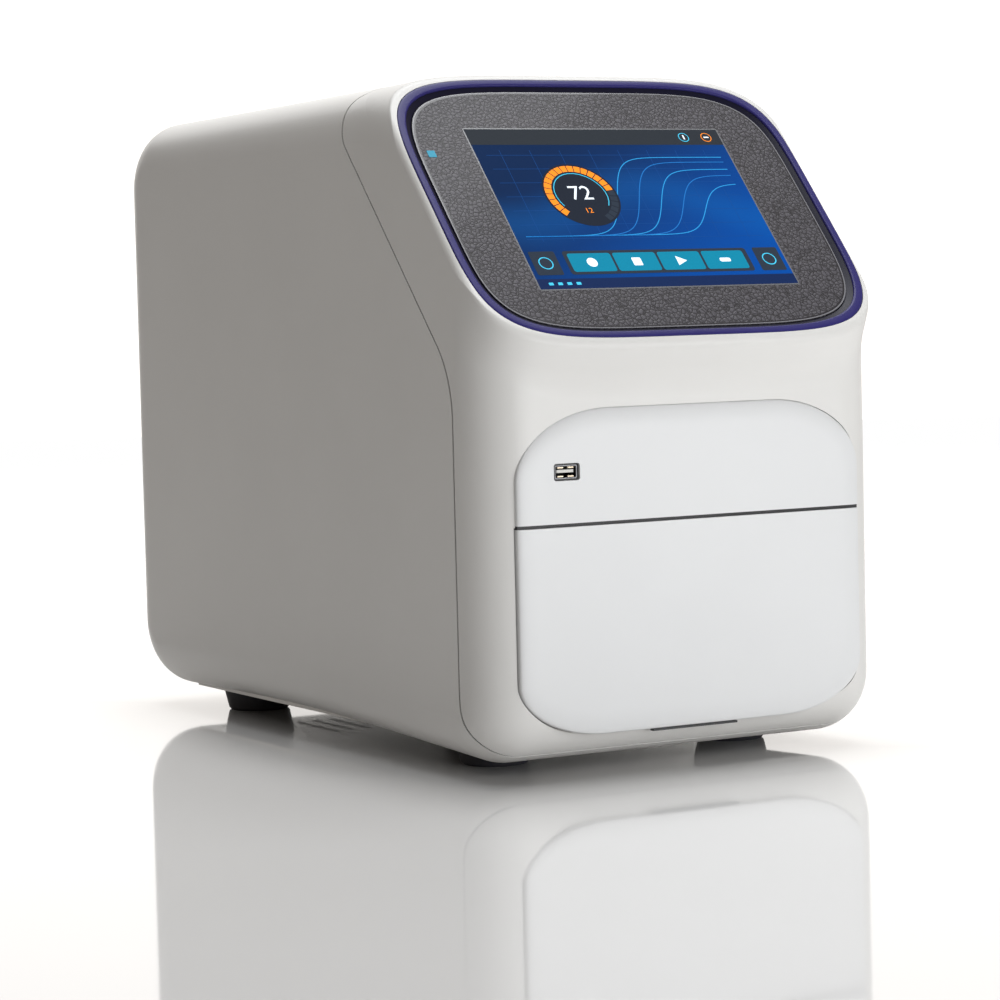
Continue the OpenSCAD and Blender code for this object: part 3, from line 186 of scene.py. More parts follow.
@dataclass(frozen=True)
class Finish:
    """One finish of the instrument, made as a procedural material.

    Args:
        name: name of the material.
        color: linear base colour.
        roughness: mean roughness.
        metallic: 0 or 1.
        coat: weight of the clear coat.
        grain: kind of the fine relief.
        depth: height of the relief in metres.
        pitch: size of the relief's cells in metres.
        tint: share by which the colour varies across the surface.
        glow: emission strength.
        transmission: share of light that passes.
        specular: level of the plain reflection, where 0.5 is usual.
    """

    # Clouds to the metre, by which colour and roughness vary a little, their detail and their edges
    CLOUDS, CLOUD_DETAIL, CLOUD_EDGE = 9.0, 3.0, (0.3, 0.7)
    # Share by which the roughness varies in the clouds
    ROUGH_TINT = 0.12
    # Share of its length that a brushed grain keeps along X in the noise, so its strokes run along X
    STROKE = 0.04
    # Detail of the noise of a cast grain and of the others
    CAST_DETAIL, DETAIL = 5.0, 2.0
    # Shares of the colour on the borders of crazed cells and in their middles
    LINE, PALE = 0.34, 1.3
    # Distances from the border over which the line fades, the middle pales and the relief rises
    LINE_FADE, PALE_FADE, RISE = (0.03, 0.16), (0.16, 0.5), (0.0, 0.3)
    COAT_ROUGHNESS = 0.08
    IOR = 1.49

    name: str
    color: Triple
    roughness: float = 0.4
    metallic: float = 0.0
    coat: float = 0.0
    grain: Grain = Grain.PLAIN
    depth: float = 0.00001
    pitch: float = 0.0006
    tint: float = 0.03
    glow: float = 0.0
    transmission: float = 0.0
    specular: float = 0.5

    def material(self) -> bpy.types.Material:
        """Makes the material, or returns the one made before.

        Returns:
            The material of this finish.
        """
        known = bpy.data.materials.get(self.name)
        if known:
            return known
        made = bpy.data.materials.new(self.name)
        made.use_nodes = True
        tree = made.node_tree
        tree.nodes.clear()
        place = add_node(tree, "ShaderNodeTexCoord").outputs["Object"]
        cloud = self._noise(tree, place, self.CLOUDS, self.CLOUD_DETAIL)
        color = self._color(tree, place, cloud)
        values = {
            "Base Color": color,
            "Roughness": self.roughness * (1 - self.ROUGH_TINT / 2 + self.ROUGH_TINT * cloud),
            "Metallic": self.metallic,
            "Coat Weight": self.coat,
            "Coat Roughness": self.COAT_ROUGHNESS,
            "Transmission Weight": self.transmission,
            "IOR": self.IOR,
            "Specular IOR Level": self.specular,
        }
        if self.glow:
            values |= {"Emission Color": color, "Emission Strength": self.glow}
        if self.grain is not Grain.PLAIN:
            relief = {"Distance": self.depth, "Strength": 1.0, "Height": self._relief(tree, place)}
            values["Normal"] = add_node(tree, "ShaderNodeBump", values=relief).outputs[0]
        shader = add_node(tree, "ShaderNodeBsdfPrincipled", values=values)
        add_node(tree, "ShaderNodeOutputMaterial", values={"Surface": shader.outputs[0]})
        return made

    def _noise(self, tree: Tree, place: bpy.types.NodeSocket, scale: float, detail: float) -> Sock:
        """Soft noise with scale cells to the metre."""
        values = {"Scale": scale, "Detail": detail, "Vector": place}
        return Sock(tree, add_node(tree, "ShaderNodeTexNoise", values=values).outputs["Fac"])

    def _color(self, tree: Tree, place: bpy.types.NodeSocket, cloud: Sock) -> Sock:
        """Base colour: the finish's colour, a little darker and lighter in soft clouds.

        A crazed grain darkens towards the borders of its cells and lightens towards their middles.
        """
        dark = tuple(c * (1 - self.tint) for c in self.color)
        light = tuple(min(1.0, c * (1 + self.tint)) for c in self.color)
        color = cloud.ramp(*self.CLOUD_EDGE).mix(dark, light)
        if self.grain is Grain.CRAZED:
            cell = self._cells(tree, place)
            line = tuple(c * self.LINE for c in self.color)
            pale = tuple(c * self.PALE for c in self.color)
            color = cell.ramp(*self.LINE_FADE).mix(line, color)
            color = cell.ramp(*self.PALE_FADE).mix(color, pale)
        return color

    def _cells(self, tree: Tree, place: bpy.types.NodeSocket) -> Sock:
        """Distance to the nearest border between irregular cells, 0 on the border."""
        values = {"Scale": 1.0 / self.pitch, "Vector": place}
        node = add_node(tree, "ShaderNodeTexVoronoi", {"feature": "DISTANCE_TO_EDGE"}, values)
        return Sock(tree, node.outputs["Distance"])

    def _relief(self, tree: Tree, place: bpy.types.NodeSocket) -> Sock:
        """Height of the fine relief: cells, long strokes or fine noise, by the grain."""
        if self.grain is Grain.CRAZED:
            return self._cells(tree, place).ramp(*self.RISE)
        if self.grain is Grain.BRUSHED:
            values = {0: place, 1: (self.STROKE, 1.0, 1.0)}
            place = add_node(tree, "ShaderNodeVectorMath", {"operation": "MULTIPLY"}, values).outputs[0]
        detail = self.CAST_DETAIL if self.grain is Grain.CAST else self.DETAIL
        return self._noise(tree, place, 1.0 / self.pitch, detail)


class Slot(Enum):
    """Material slots of the record, with the finish that each has."""

    COVER = ("cover_white", Finish(
        "Cover moulding", (0.785, 0.775, 0.754), 0.36, grain=Grain.MOULDED, tint=0.012))
    PANEL = ("panel_white", Finish(
        "Panel moulding", (0.79, 0.795, 0.80), 0.33, grain=Grain.MOULDED, tint=0.012))
    TRIM = ("trim_blue", Finish("Trim lacquer", (0.030, 0.026, 0.150), 0.34, tint=0.05, specular=0.25))
    GLASS = ("touch_glass", Finish(
        "Printed glass", (0.080, 0.076, 0.088), 0.42, coat=0.10, grain=Grain.CRAZED,
        depth=0.00012, pitch=0.0028, tint=0.05, specular=0.30))
    DISPLAY = ("display", Finish("Display body", (0.015, 0.02, 0.05), 0.3))
    LIGHT = ("light_cyan", Finish("Status light", (0.015, 0.20, 0.30), 0.3, glow=0.8, specular=0.2))
    BLACK = ("black_plastic", Finish("Black moulding", (0.018, 0.018, 0.020), 0.42, grain=Grain.MOULDED))
    DARK = ("dark_plastic", Finish("Dark moulding", (0.030, 0.031, 0.034), 0.46, grain=Grain.MOULDED))
    RUBBER = ("foot_rubber", Finish(
        "Foot rubber", (0.034, 0.034, 0.042), 0.55, grain=Grain.CAST, pitch=0.0012))
    SHEET = ("sheet_steel", Finish(
        "Zinc plated sheet", (0.52, 0.52, 0.51), 0.38, 1.0, grain=Grain.BRUSHED, tint=0.08))
    PAINTED = ("painted_sheet", Finish(
        "Powder paint", (0.62, 0.62, 0.60), 0.48, grain=Grain.CAST, pitch=0.0009))
    BARE = ("bare_aluminium", Finish(
        "Bare aluminium", (0.66, 0.67, 0.68), 0.34, 1.0, grain=Grain.BRUSHED, tint=0.05))
    BLOCK = ("block_silver", Finish("Plated block", (0.78, 0.77, 0.74), 0.22, 1.0, grain=Grain.CAST))
    MOTOR = ("motor_steel", Finish("Motor case", (0.22, 0.22, 0.23), 0.4, 1.0, grain=Grain.BRUSHED))
    SCREW = ("screw_steel", Finish("Screw steel", (0.50, 0.50, 0.51), 0.28, 1.0, grain=Grain.BRUSHED))
    BOARD = ("board_green", Finish("Circuit board", (0.012, 0.095, 0.040), 0.42, coat=0.3, tint=0.10))
    CERAMIC = ("ceramic_white", Finish("Ceramic", (0.78, 0.77, 0.73), 0.55, grain=Grain.CAST))
    GEAR = ("gear_natural", Finish("Natural gear plastic", (0.70, 0.67, 0.58), 0.42, tint=0.04))
    OPTIC = ("clear_optic", Finish("Clear optic", (0.92, 0.95, 0.97), 0.04, transmission=0.9, tint=0.0))
    MIRROR = ("mirror", Finish("Mirror coating", (0.90, 0.91, 0.92), 0.04, 1.0, tint=0.0))
    FILTER = ("filter_glass", Finish("Filter glass", (0.20, 0.07, 0.26), 0.06, coat=0.5, tint=0.10))
    PORT = ("port_metal", Finish("Port shell", (0.56, 0.56, 0.57), 0.30, 1.0, grain=Grain.BRUSHED))

    @property
    def finish(self) -> Finish:
        """The finish of this slot."""
        return self.value[1]


# Finishes of the scene's own small pieces, which have no slot to themselves
EDGE = Finish("Ground glass edge", (0.21, 0.21, 0.23), 0.3, coat=0.4, tint=0.02)
DARK_LINE = Finish("Dark print line", (0.010, 0.010, 0.016), 0.3, coat=0.4, tint=0.02)
# Near-black of the trim ring's inner trough: painted shade in that recess
TROUGH = Finish("Trough painted shade", (0.006, 0.006, 0.020), 0.4, tint=0.05, specular=0.2)
BRONZE = Finish("Nickel bronze", (0.50, 0.42, 0.32), 0.34, 1.0, tint=0.05)
OUTLINE = Finish("Display outline", (0.15, 0.155, 0.17), 0.3, coat=0.4, tint=0.02)


def lit(name: str, color: Triple, glow: float) -> Finish:
    """Finish of a piece of the backlit picture, with the anti-glare face of the display."""
    return Finish(name, color, 0.5, tint=0.0, glow=glow, specular=0.03)


class Lit(Enum):
    """Finishes of the picture on the display, which glow like a backlit panel."""

    HEADER = lit("Screen header", (0.020, 0.024, 0.030), 0.7)
    STATUS = lit("Screen status strip", (0.006, 0.016, 0.060), 0.8)
    TILE = lit("Screen grey tile", (0.020, 0.028, 0.042), 0.7)
    BUTTON = lit("Screen teal button", (0.004, 0.150, 0.240), 0.9)
    ORANGE = lit("Screen orange", (0.72, 0.20, 0.015), 0.9)
    DIAL = lit("Screen dial face", (0.012, 0.016, 0.026), 0.6)
    DIGIT = lit("Screen figures", (0.62, 0.68, 0.74), 0.9)
    CYAN = lit("Screen cyan", (0.05, 0.42, 0.62), 0.8)
    GRID = lit("Screen grid line", (0.006, 0.046, 0.18), 0.8)
    CURVE = lit("Screen curve", (0.012, 0.12, 0.36), 0.8)
    TRACE = lit("Screen trace", (0.020, 0.22, 0.48), 0.8)


# Meshes


def make_object(name: str, points: np.ndarray, faces: Sequence[Sequence[int]], sharp: float = 35.0) -> Piece:
    """Makes an object from points in millimetres.

    Args:
        name: name of the piece.
        points: array of n points of X, Y and Z.
        faces: point numbers of each face, turning left seen from outside.
        sharp: angle in degrees from which an edge stays sharp.

    Returns:
        The object, at the origin, unturned and unscaled.
    """
    mesh = bpy.data.meshes.new(name)
    mesh.from_pydata((np.asarray(points, float) * MM).tolist(), [], [list(map(int, f)) for f in faces])
    mesh.update()
    mesh.shade_smooth()
    mesh.set_sharp_from_angle(angle=math.radians(sharp))
    return place_object(name, mesh)


def place_object(name: str, data: bpy.types.ID) -> Piece:
    """Puts a mesh, a text, a lamp or a camera into the scene as an object."""
    made = bpy.data.objects.new(name, data)
    bpy.context.scene.collection.objects.link(made)
    return made


def loft_faces(rings: int, count: int, closed: bool = True) -> list[tuple[int, ...]]:
    """Quads between rings that follow each other, each of count points.

    The point i of ring j has the number j * count + i, so the quad at (j, i) is
    (j*count + i, j*count + i+1, (j+1)*count + i+1, (j+1)*count + i), with i+1 taken round the ring.

    Args:
        rings: number of rings.
        count: points of a ring.
        closed: True adds one face over each end.

    Returns:
        Point numbers of each face.
    """
    j, i = np.meshgrid(np.arange(rings - 1), np.arange(count), indexing="ij")
    k = (i + 1) % count
    quads = np.stack([j * count + i, j * count + k, (j + 1) * count + k, (j + 1) * count + i], axis=-1)
    faces = [tuple(q) for q in quads.reshape(-1, 4)]
    if closed:
        faces.append(tuple(range(count - 1, -1, -1)))
        faces.append(tuple((rings - 1) * count + n for n in range(count)))
    return faces


def loft(name: str, rings: np.ndarray, sharp: float = 35.0) -> Piece:
    """Closed solid through rings, an array of (rings, points of a ring, 3), with its faces outwards."""
    rings = np.asarray(rings, float)
    return turned(make_object(name, rings.reshape(-1, 3), loft_faces(rings.shape[0], rings.shape[1]), sharp))


def hoop(name: str, rings: Sequence[np.ndarray], sharp: float = 35.0) -> Piece:
    """Closed tube through rings, whose last ring joins the first, with its faces outwards."""
    points = np.concatenate(rings)
    quads = loft_faces(len(rings) + 1, len(rings[0]), closed=False)
    return turned(make_object(name, points, [tuple(n % len(points) for n in q) for q in quads], sharp))


def turned(obj: Piece) -> Piece:
    """Turns the faces of a closed solid outwards.

    The signed volume is a sixth of the sum of a . (b x c) over all triangles, and is negative inside out.
    """
    mesh = obj.data
    mesh.calc_loop_triangles()
    corners = np.empty(len(mesh.loop_triangles) * 3, np.int32)
    mesh.loop_triangles.foreach_get("vertices", corners)
    points = np.empty(len(mesh.vertices) * 3)
    mesh.vertices.foreach_get("co", points)
    a, b, c = points.reshape(-1, 3)[corners.reshape(-1, 3)].transpose(1, 0, 2)
    if np.sum(a * np.cross(b, c)) < 0:
        mesh.flip_normals()
    return obj


def combine(base: Piece, operation: str, *tools: Piece) -> Piece:
    """Joins or cuts closed solids.

    Args:
        base: object that is changed.
        operation: DIFFERENCE, UNION or INTERSECT.
        tools: closed solids, which are used up.

    Returns:
        base, with its mesh replaced.
    """
    for tool in tools:
        step = base.modifiers.new("step", "BOOLEAN")
        step.operation = operation
        step.solver = "MANIFOLD"
        step.object = tool
        graph = bpy.context.evaluated_depsgraph_get()
        mesh = bpy.data.meshes.new_from_object(base.evaluated_get(graph))
        base.modifiers.clear()
        old = base.data
        base.data = mesh
        bpy.data.meshes.remove(old)
        bpy.data.objects.remove(tool)
    base.data.name = base.name
    return base


def smooth(obj: Piece, sharp: float = 35.0) -> Piece:
    """Smooth shading that keeps edges sharper than the angle, weighted by face area."""
    obj.data.shade_smooth()
    obj.data.set_sharp_from_angle(angle=math.radians(sharp))
    even = obj.modifiers.new("even", "WEIGHTED_NORMAL")
    even.keep_sharp = True
    even.weight = 60
    return obj


def finish_piece(obj: Piece, look: Finish, body: str, slot: str, *nodes: str) -> Piece:
    """Gives a piece its material and its place in the instrument, and reports it.

    Args:
        obj: the piece.
        look: its finish.
        body: body that it rides on.
        slot: material slot of the record; not used.
        nodes: nodes of the construction that it stands for.

    Returns:
        The piece.
    """
    obj.data.materials.clear()
    obj.data.materials.append(look.material())
    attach(obj, body)
    if nodes:
        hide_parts(*nodes)
    LOG.info("%s on %s in %s", obj.name, body, look.name)
    return obj


# Outlines


def superellipse(a: float, b: float, power: float, count: int) -> np.ndarray:
    """Points on |x/a|^p + |y/b|^p = 1, at (a k cos t, b k sin t) with k = (|cos t|^p + |sin t|^p)^(-1/p)."""
    t = np.linspace(0, 2 * math.pi, count, endpoint=False)
    c, s = np.cos(t), np.sin(t)
    k = (np.abs(c) ** power + np.abs(s) ** power) ** (-1 / power)
    return np.stack([a * k * c, b * k * s], axis=-1)


def bend(before: np.ndarray, at: np.ndarray, after: np.ndarray, r: float, steps: int) -> np.ndarray:
    """Cubic curve that rounds a corner.

    It starts and ends at the distance r / tan(half angle) from the corner, and its two handles reach
    0.42 + 0.26 * half angle / 90 degrees of the way to the corner, so a right angle gets nearly an arc.

    Args:
        before: corner before this one.
        at: the corner.
        after: corner after this one.
        r: radius of the rounding.
        steps: pieces of the curve.

    Returns:
        Points of the curve.
    """
    la, lc = np.linalg.norm(before - at), np.linalg.norm(after - at)
    u, v = (before - at) / la, (after - at) / lc
    half = math.acos(max(-1.0, min(1.0, float(u @ v)))) / 2
    reach = min(r / math.tan(half), 0.49 * la, 0.49 * lc)
    hold = 0.42 + 0.26 * math.degrees(half) / 90
    p0, p3 = at + reach * u, at + reach * v
    p1, p2 = p0 + hold * (at - p0), p3 + hold * (at - p3)
    t = np.linspace(0, 1, steps + 1)[:, None]
    s = 1 - t
    return s**3 * p0 + 3 * s**2 * t * p1 + 3 * s * t**2 * p2 + t**3 * p3


def rounded(points: Sequence[Sequence[float]], radii: Sequence[float], steps: int) -> np.ndarray:
    """Closed outline with every corner rounded by its own radius."""
    p = [np.array(q, float) for q in points]
    n = len(p)
    return np.concatenate([bend(p[i - 1], p[i], p[(i + 1) % n], radii[i], steps) for i in range(n)])


def rounded_rect(w: float, h: float, r: float, steps: int = 8) -> np.ndarray:
    """Rectangle about the origin with rounded corners."""
    corners = [(-w / 2, -h / 2), (w / 2, -h / 2), (w / 2, h / 2), (-w / 2, h / 2)]
    return rounded(corners, [r] * 4, steps)


def prism(name: str, outline: np.ndarray, place: Callable[[np.ndarray, float], np.ndarray],
          levels: Sequence[float]) -> Piece:
    """Straight solid of an outline, set at each level by place(outline, level)."""
    return loft(name, np.stack([place(outline, level) for level in levels]))


def along_x(outline: np.ndarray, x: float) -> np.ndarray:
    """Outline of Y and Z at one X."""
    return np.column_stack([np.full(len(outline), x), outline])


def along_y(outline: np.ndarray, y: float) -> np.ndarray:
    """Outline of X and Z at one Y."""
    return np.column_stack([outline[:, 0], np.full(len(outline), y), outline[:, 1]])


# The instrument


@dataclass(frozen=True)
class Housing:
    """Sizes of the moulded covers, in millimetres, as in the construction."""

    # Angle in degrees from which an edge of the form stays sharp
    SHARP = 40
    # Depth and height of the hole inside the rim, from the rim plane
    RING_LOW, RING_HIGH = -14, 6
    # Share of the half width at each station grows as a sine of this power, so stations crowd at the sides
    CROWD = 0.62
    # Smallest radius of a corner of the side outline
    LEAST_R = 4.0
    # Parting line from the top down: Y from the screen's middle, Z, and the radius of the corner
    SEAM = ((106, 430, 5), (104, 364, 24), (-22.5, 226, 60), (-22.5, 38, 44), (-43, 2, 20), (-43, -10, 1))

    half_w: float = 135.0
    rim_y: float = -250.0
    rear_y: float = 250.0
    wall: float = 3.0
    belly_z: float = 14.5
    belly_rise: float = 3.0
    chin_z: float = 6.5
    arch_y: float = 30.0
    arch_r: float = 3600.0
    rear_top_z: float = 387.0
    shoulder_z: float = 394.0
    shoulder_run: float = 34.0
    shoulder_r: float = 60.0
    shoulder_dip: float = 1.0
    shoulder_lift: float = 9.0
    shoulder_edge_r: float = 30.0
    front_edge_r: float = 33.0
    long_edge_r: float = 30.0
    rear_corner_r: float = 44.0
    chin_r: float = 40.0
    front_y: float = -238.5
    seam_gap: float = 1.4
    screen_tilt: float = 42.0
    screen_y: float = -181.47
    screen_z: float = 321.0
    rim_half_h: float = 106.0
    rim_lip: float = 2.8
    rim_clear: float = 1.6
    rim_reach: float = 0.4
    rim_edge_r: float = 5.0
    rim_end_r: float = 7.0
    rim_end_least_r: float = 1.5
    rim_power: float = 5.0
    flare_drop: float = 22.0
    flare_r: float = 34.0

    @property
    def up(self) -> np.ndarray:
        """Direction up the screen, as Y and Z."""
        tilt = math.radians(self.screen_tilt)
        return np.array([math.sin(tilt), math.cos(tilt)])

    @property
    def out(self) -> np.ndarray:
        """Direction out of the screen, as Y and Z."""
        tilt = math.radians(self.screen_tilt)
        return np.array([-math.cos(tilt), math.sin(tilt)])

    @staticmethod
    def edge_fall(x: float, w: float, r: float) -> float:
        """How far an edge of radius r has fallen back at x, where the side stands at w."""
        k = min(r, abs(x) - (w - r))
        return 0.0 if k <= 0 else r - math.sqrt(max(0.0, r * r - k * k))

    def section(self, x: float, t: float, steps: int) -> np.ndarray:
        """Side outline of the housing at one X.

        The corners go from the chin at the bottom of the front, over the flare under the screen, the
        lower and the upper end of the rim and the shoulder, to the two rear corners and the belly's arch.

        Args:
            x: place of the section.
            t: distance by which the whole form is set inwards.
            steps: pieces of each rounded corner.

        Returns:
            Points of Y and Z.
        """
        w = self.half_w - t
        front = t + self.edge_fall(x, w, self.front_edge_r - t)
        long = t + self.edge_fall(x, w, self.long_edge_r - t)
        face = t + self.edge_fall(x, w, self.rim_edge_r)
        a, b = self.half_w + self.rim_reach - t, self.rim_half_h - t
        reach = b * max(0.0, 1 - (abs(x) / a) ** self.rim_power) ** (1 / self.rim_power)
        centre = np.array([self.screen_y, self.screen_z]) - face * self.out
        chin = centre - reach * self.up
        brow = centre + reach * self.up
        lift = self.shoulder_lift * self.edge_fall(x, w, self.shoulder_edge_r) / self.shoulder_edge_r
        top_z = min(self.shoulder_z - long, brow[1] - self.shoulder_dip + lift)
        rear = max(self.LEAST_R, self.rear_corner_r - long)
        lip = max(self.rim_end_least_r, self.rim_end_r - t)
        corners = [
            (self.front_y + front, self.chin_z + long, max(self.LEAST_R, self.chin_r - front)),
            (self.front_y + front, chin[1] - self.flare_drop, self.flare_r + front),
            (*chin, lip),
            (*brow, lip),
            (brow[0] + self.shoulder_run, top_z, self.shoulder_r + long),
            (self.rear_y - long, self.rear_top_z - long, rear),
            (self.rear_y - long, self.belly_z + long, rear),
            (self.arch_y, self.belly_z + self.belly_rise + long, self.arch_r),
        ]
        return rounded([(y, z) for y, z, _ in corners], [r for _, _, r in corners], steps)

    def form(self, name: str, t: float, count: int, steps: int) -> Piece:
        """The housing as one closed solid, lofted through its side outlines.

        Args:
            name: name of the solid.
            t: distance by which it is set inwards.
            count: stations on each half of the width.
            steps: pieces of each rounded corner.

        Returns:
            The solid.
        """
        i = np.arange(count + 1) / count
        half = (self.half_w - t) * np.sin(math.pi / 2 * i**self.CROWD)
        xs = np.concatenate([-half[:0:-1], half])
        return loft(name, np.stack([along_x(self.section(x, t, steps), x) for x in xs]), self.SHARP)

    def seam(self, name: str, gap: float) -> Piece:
        """Everything in front of the parting line, pushed back by gap."""
        line = [(self.screen_y + y, z, r) for y, z, r in self.SEAM]
        low, high = self.SEAM[-1][1], self.SEAM[0][1]
        line += [(self.rim_y - 20, low, 1), (self.rim_y - 20, high, 1)]
        outline = rounded([(y, z) for y, z, _ in line], [r for _, _, r in line], 16)
        return prism(name, outline + (gap, 0), along_x, [-self.half_w - 2, self.half_w + 2])

    def on_screen(self, points: np.ndarray) -> np.ndarray:
        """Places points given along the screen, up the screen and out of its rim plane."""
        p = np.asarray(points, float)
        yz = np.array([self.screen_y, self.screen_z]) + p[:, 1:2] * self.up + p[:, 2:3] * self.out
        return np.column_stack([p[:, 0], yz])

    def at_height(self, flat: np.ndarray, height: float) -> np.ndarray:
        """Outline along and up the screen, set at one height above its rim plane."""
        return self.on_screen(np.column_stack([flat, np.full(len(flat), height)]))

    def screen_prism(self, name: str, outline: np.ndarray, low: float, high: float) -> Piece:
        """Solid of an outline on the screen, from low to high above its rim plane."""
        return prism(name, outline, self.at_height, [low, high])

    def ring_hole(self, name: str, count: int) -> Piece:
        """Solid of the hole inside the rim, in which the screen and its ring lie."""
        inset = self.rim_lip + self.rim_clear
        ring = superellipse(self.half_w - self.rim_lip, self.rim_half_h - inset, self.rim_power, count)
        return self.screen_prism(name, ring, self.RING_LOW, self.RING_HIGH)


@dataclass(frozen=True)
class PanelForm:
    """The softly rounded front panel, which the fascia and the drawer front share."""

    # Rings between the face's flat middle and its edge, and the power that crowds them at the edge
    RINGS = 19
    CROWD = 1.3
    # Power of the curve by which the face falls off
    CROWN = 2.2
    # Angle in degrees from which an edge of the panel stays sharp
    SHARP = 30
    # Height above everything on the front, up to which a cut goes
    SKY = 260

    housing: Housing = field(default_factory=Housing)
    w: float = 230.0
    z0: float = 24.5
    z1: float = 207.0
    top: Pair = (60.0, 40.0)
    low: Pair = (56.0, 31.0)
    thick: float = 8.0
    proud: float = 1.5
    soft: float = 13.0
    drop: float = 3.0
    slit_z: float = 142.7
    slit_gap: float = 2.0
    joint: float = 0.06
    gap: float = 0.7
    port_at: Pair = (-83.5, 172.3)
    port_size: Pair = (16.8, 9.6)
    finger_w: float = 57.0
    finger_deep: float = 0.9

    @property
    def y(self) -> float:
        """Front face of the panel."""
        return self.housing.front_y - self.proud

    def behind(self, near: float, far: float) -> Pair:
        """Two values of Y at given depths behind the panel's face."""
        return self.y + near, self.y + far

    @property
    def whole(self) -> Pair:
        """X from side to side of a cut through the whole front."""
        return -self.housing.half_w - 5, self.housing.half_w + 5

    def outline(self, g: float, count: int = 28) -> np.ndarray:
        """Outline of X and Z grown by g, with quarter ellipses at its corners."""
        w, z0, z1 = self.w / 2 + g, self.z0 - g, self.z1 + g
        (tx, tz), (lx, lz) = self.top, self.low
        tx, tz, lx, lz = tx + g, tz + g, lx + g, lz + g
        t = np.linspace(0, math.pi / 2, count + 1)
        c, s = np.cos(t), np.sin(t)
        return np.concatenate([
            np.column_stack([w - lx + lx * s, z0 + lz - lz * c]),
            np.column_stack([w - tx + tx * c, z1 - tz + tz * s]),
            np.column_stack([tx - w - tx * s, z1 - tz + tz * c]),
            np.column_stack([lx - w - lx * c, z0 + lz - lz * s]),
        ])

    def solid(self, name: str) -> Piece:
        """The panel's full solid. Its face falls off towards the edge as 1 - (1 - (1 - f)^p)^(1/p)."""
        f = np.linspace(1, 0, self.RINGS) ** self.CROWD
        fall = self.drop * (1 - (1 - (1 - f) ** self.CROWN) ** (1 / self.CROWN))
        rings = [along_y(self.outline(-self.soft * a), self.y + b) for a, b in zip(f, fall)]
        rings.append(along_y(self.outline(0.0), self.y + self.thick))
        return loft(name, np.stack(rings), self.SHARP)

    def through(self, name: str, outline: np.ndarray, back: float) -> Piece:
        """Straight solid of an outline of X and Z, from in front of the instrument to back."""
        return prism(name, outline, along_y, [self.housing.rim_y - 2, back])

    def box(self, name: str, x: Pair, y: Pair, z: Pair) -> Piece:
        """Rectangular solid between two values of X, Y and Z."""
        outline = np.array([(x[0], z[0]), (x[1], z[0]), (x[1], z[1]), (x[0], z[1])])
        return prism(name, outline, along_y, y)

    def cut(self, name: str, x: Pair, z: Pair) -> Piece:
        """Rectangular solid from in front of the instrument to the middle of its depth."""
        return self.box(name, x, (self.housing.rim_y - 10, 0), z)


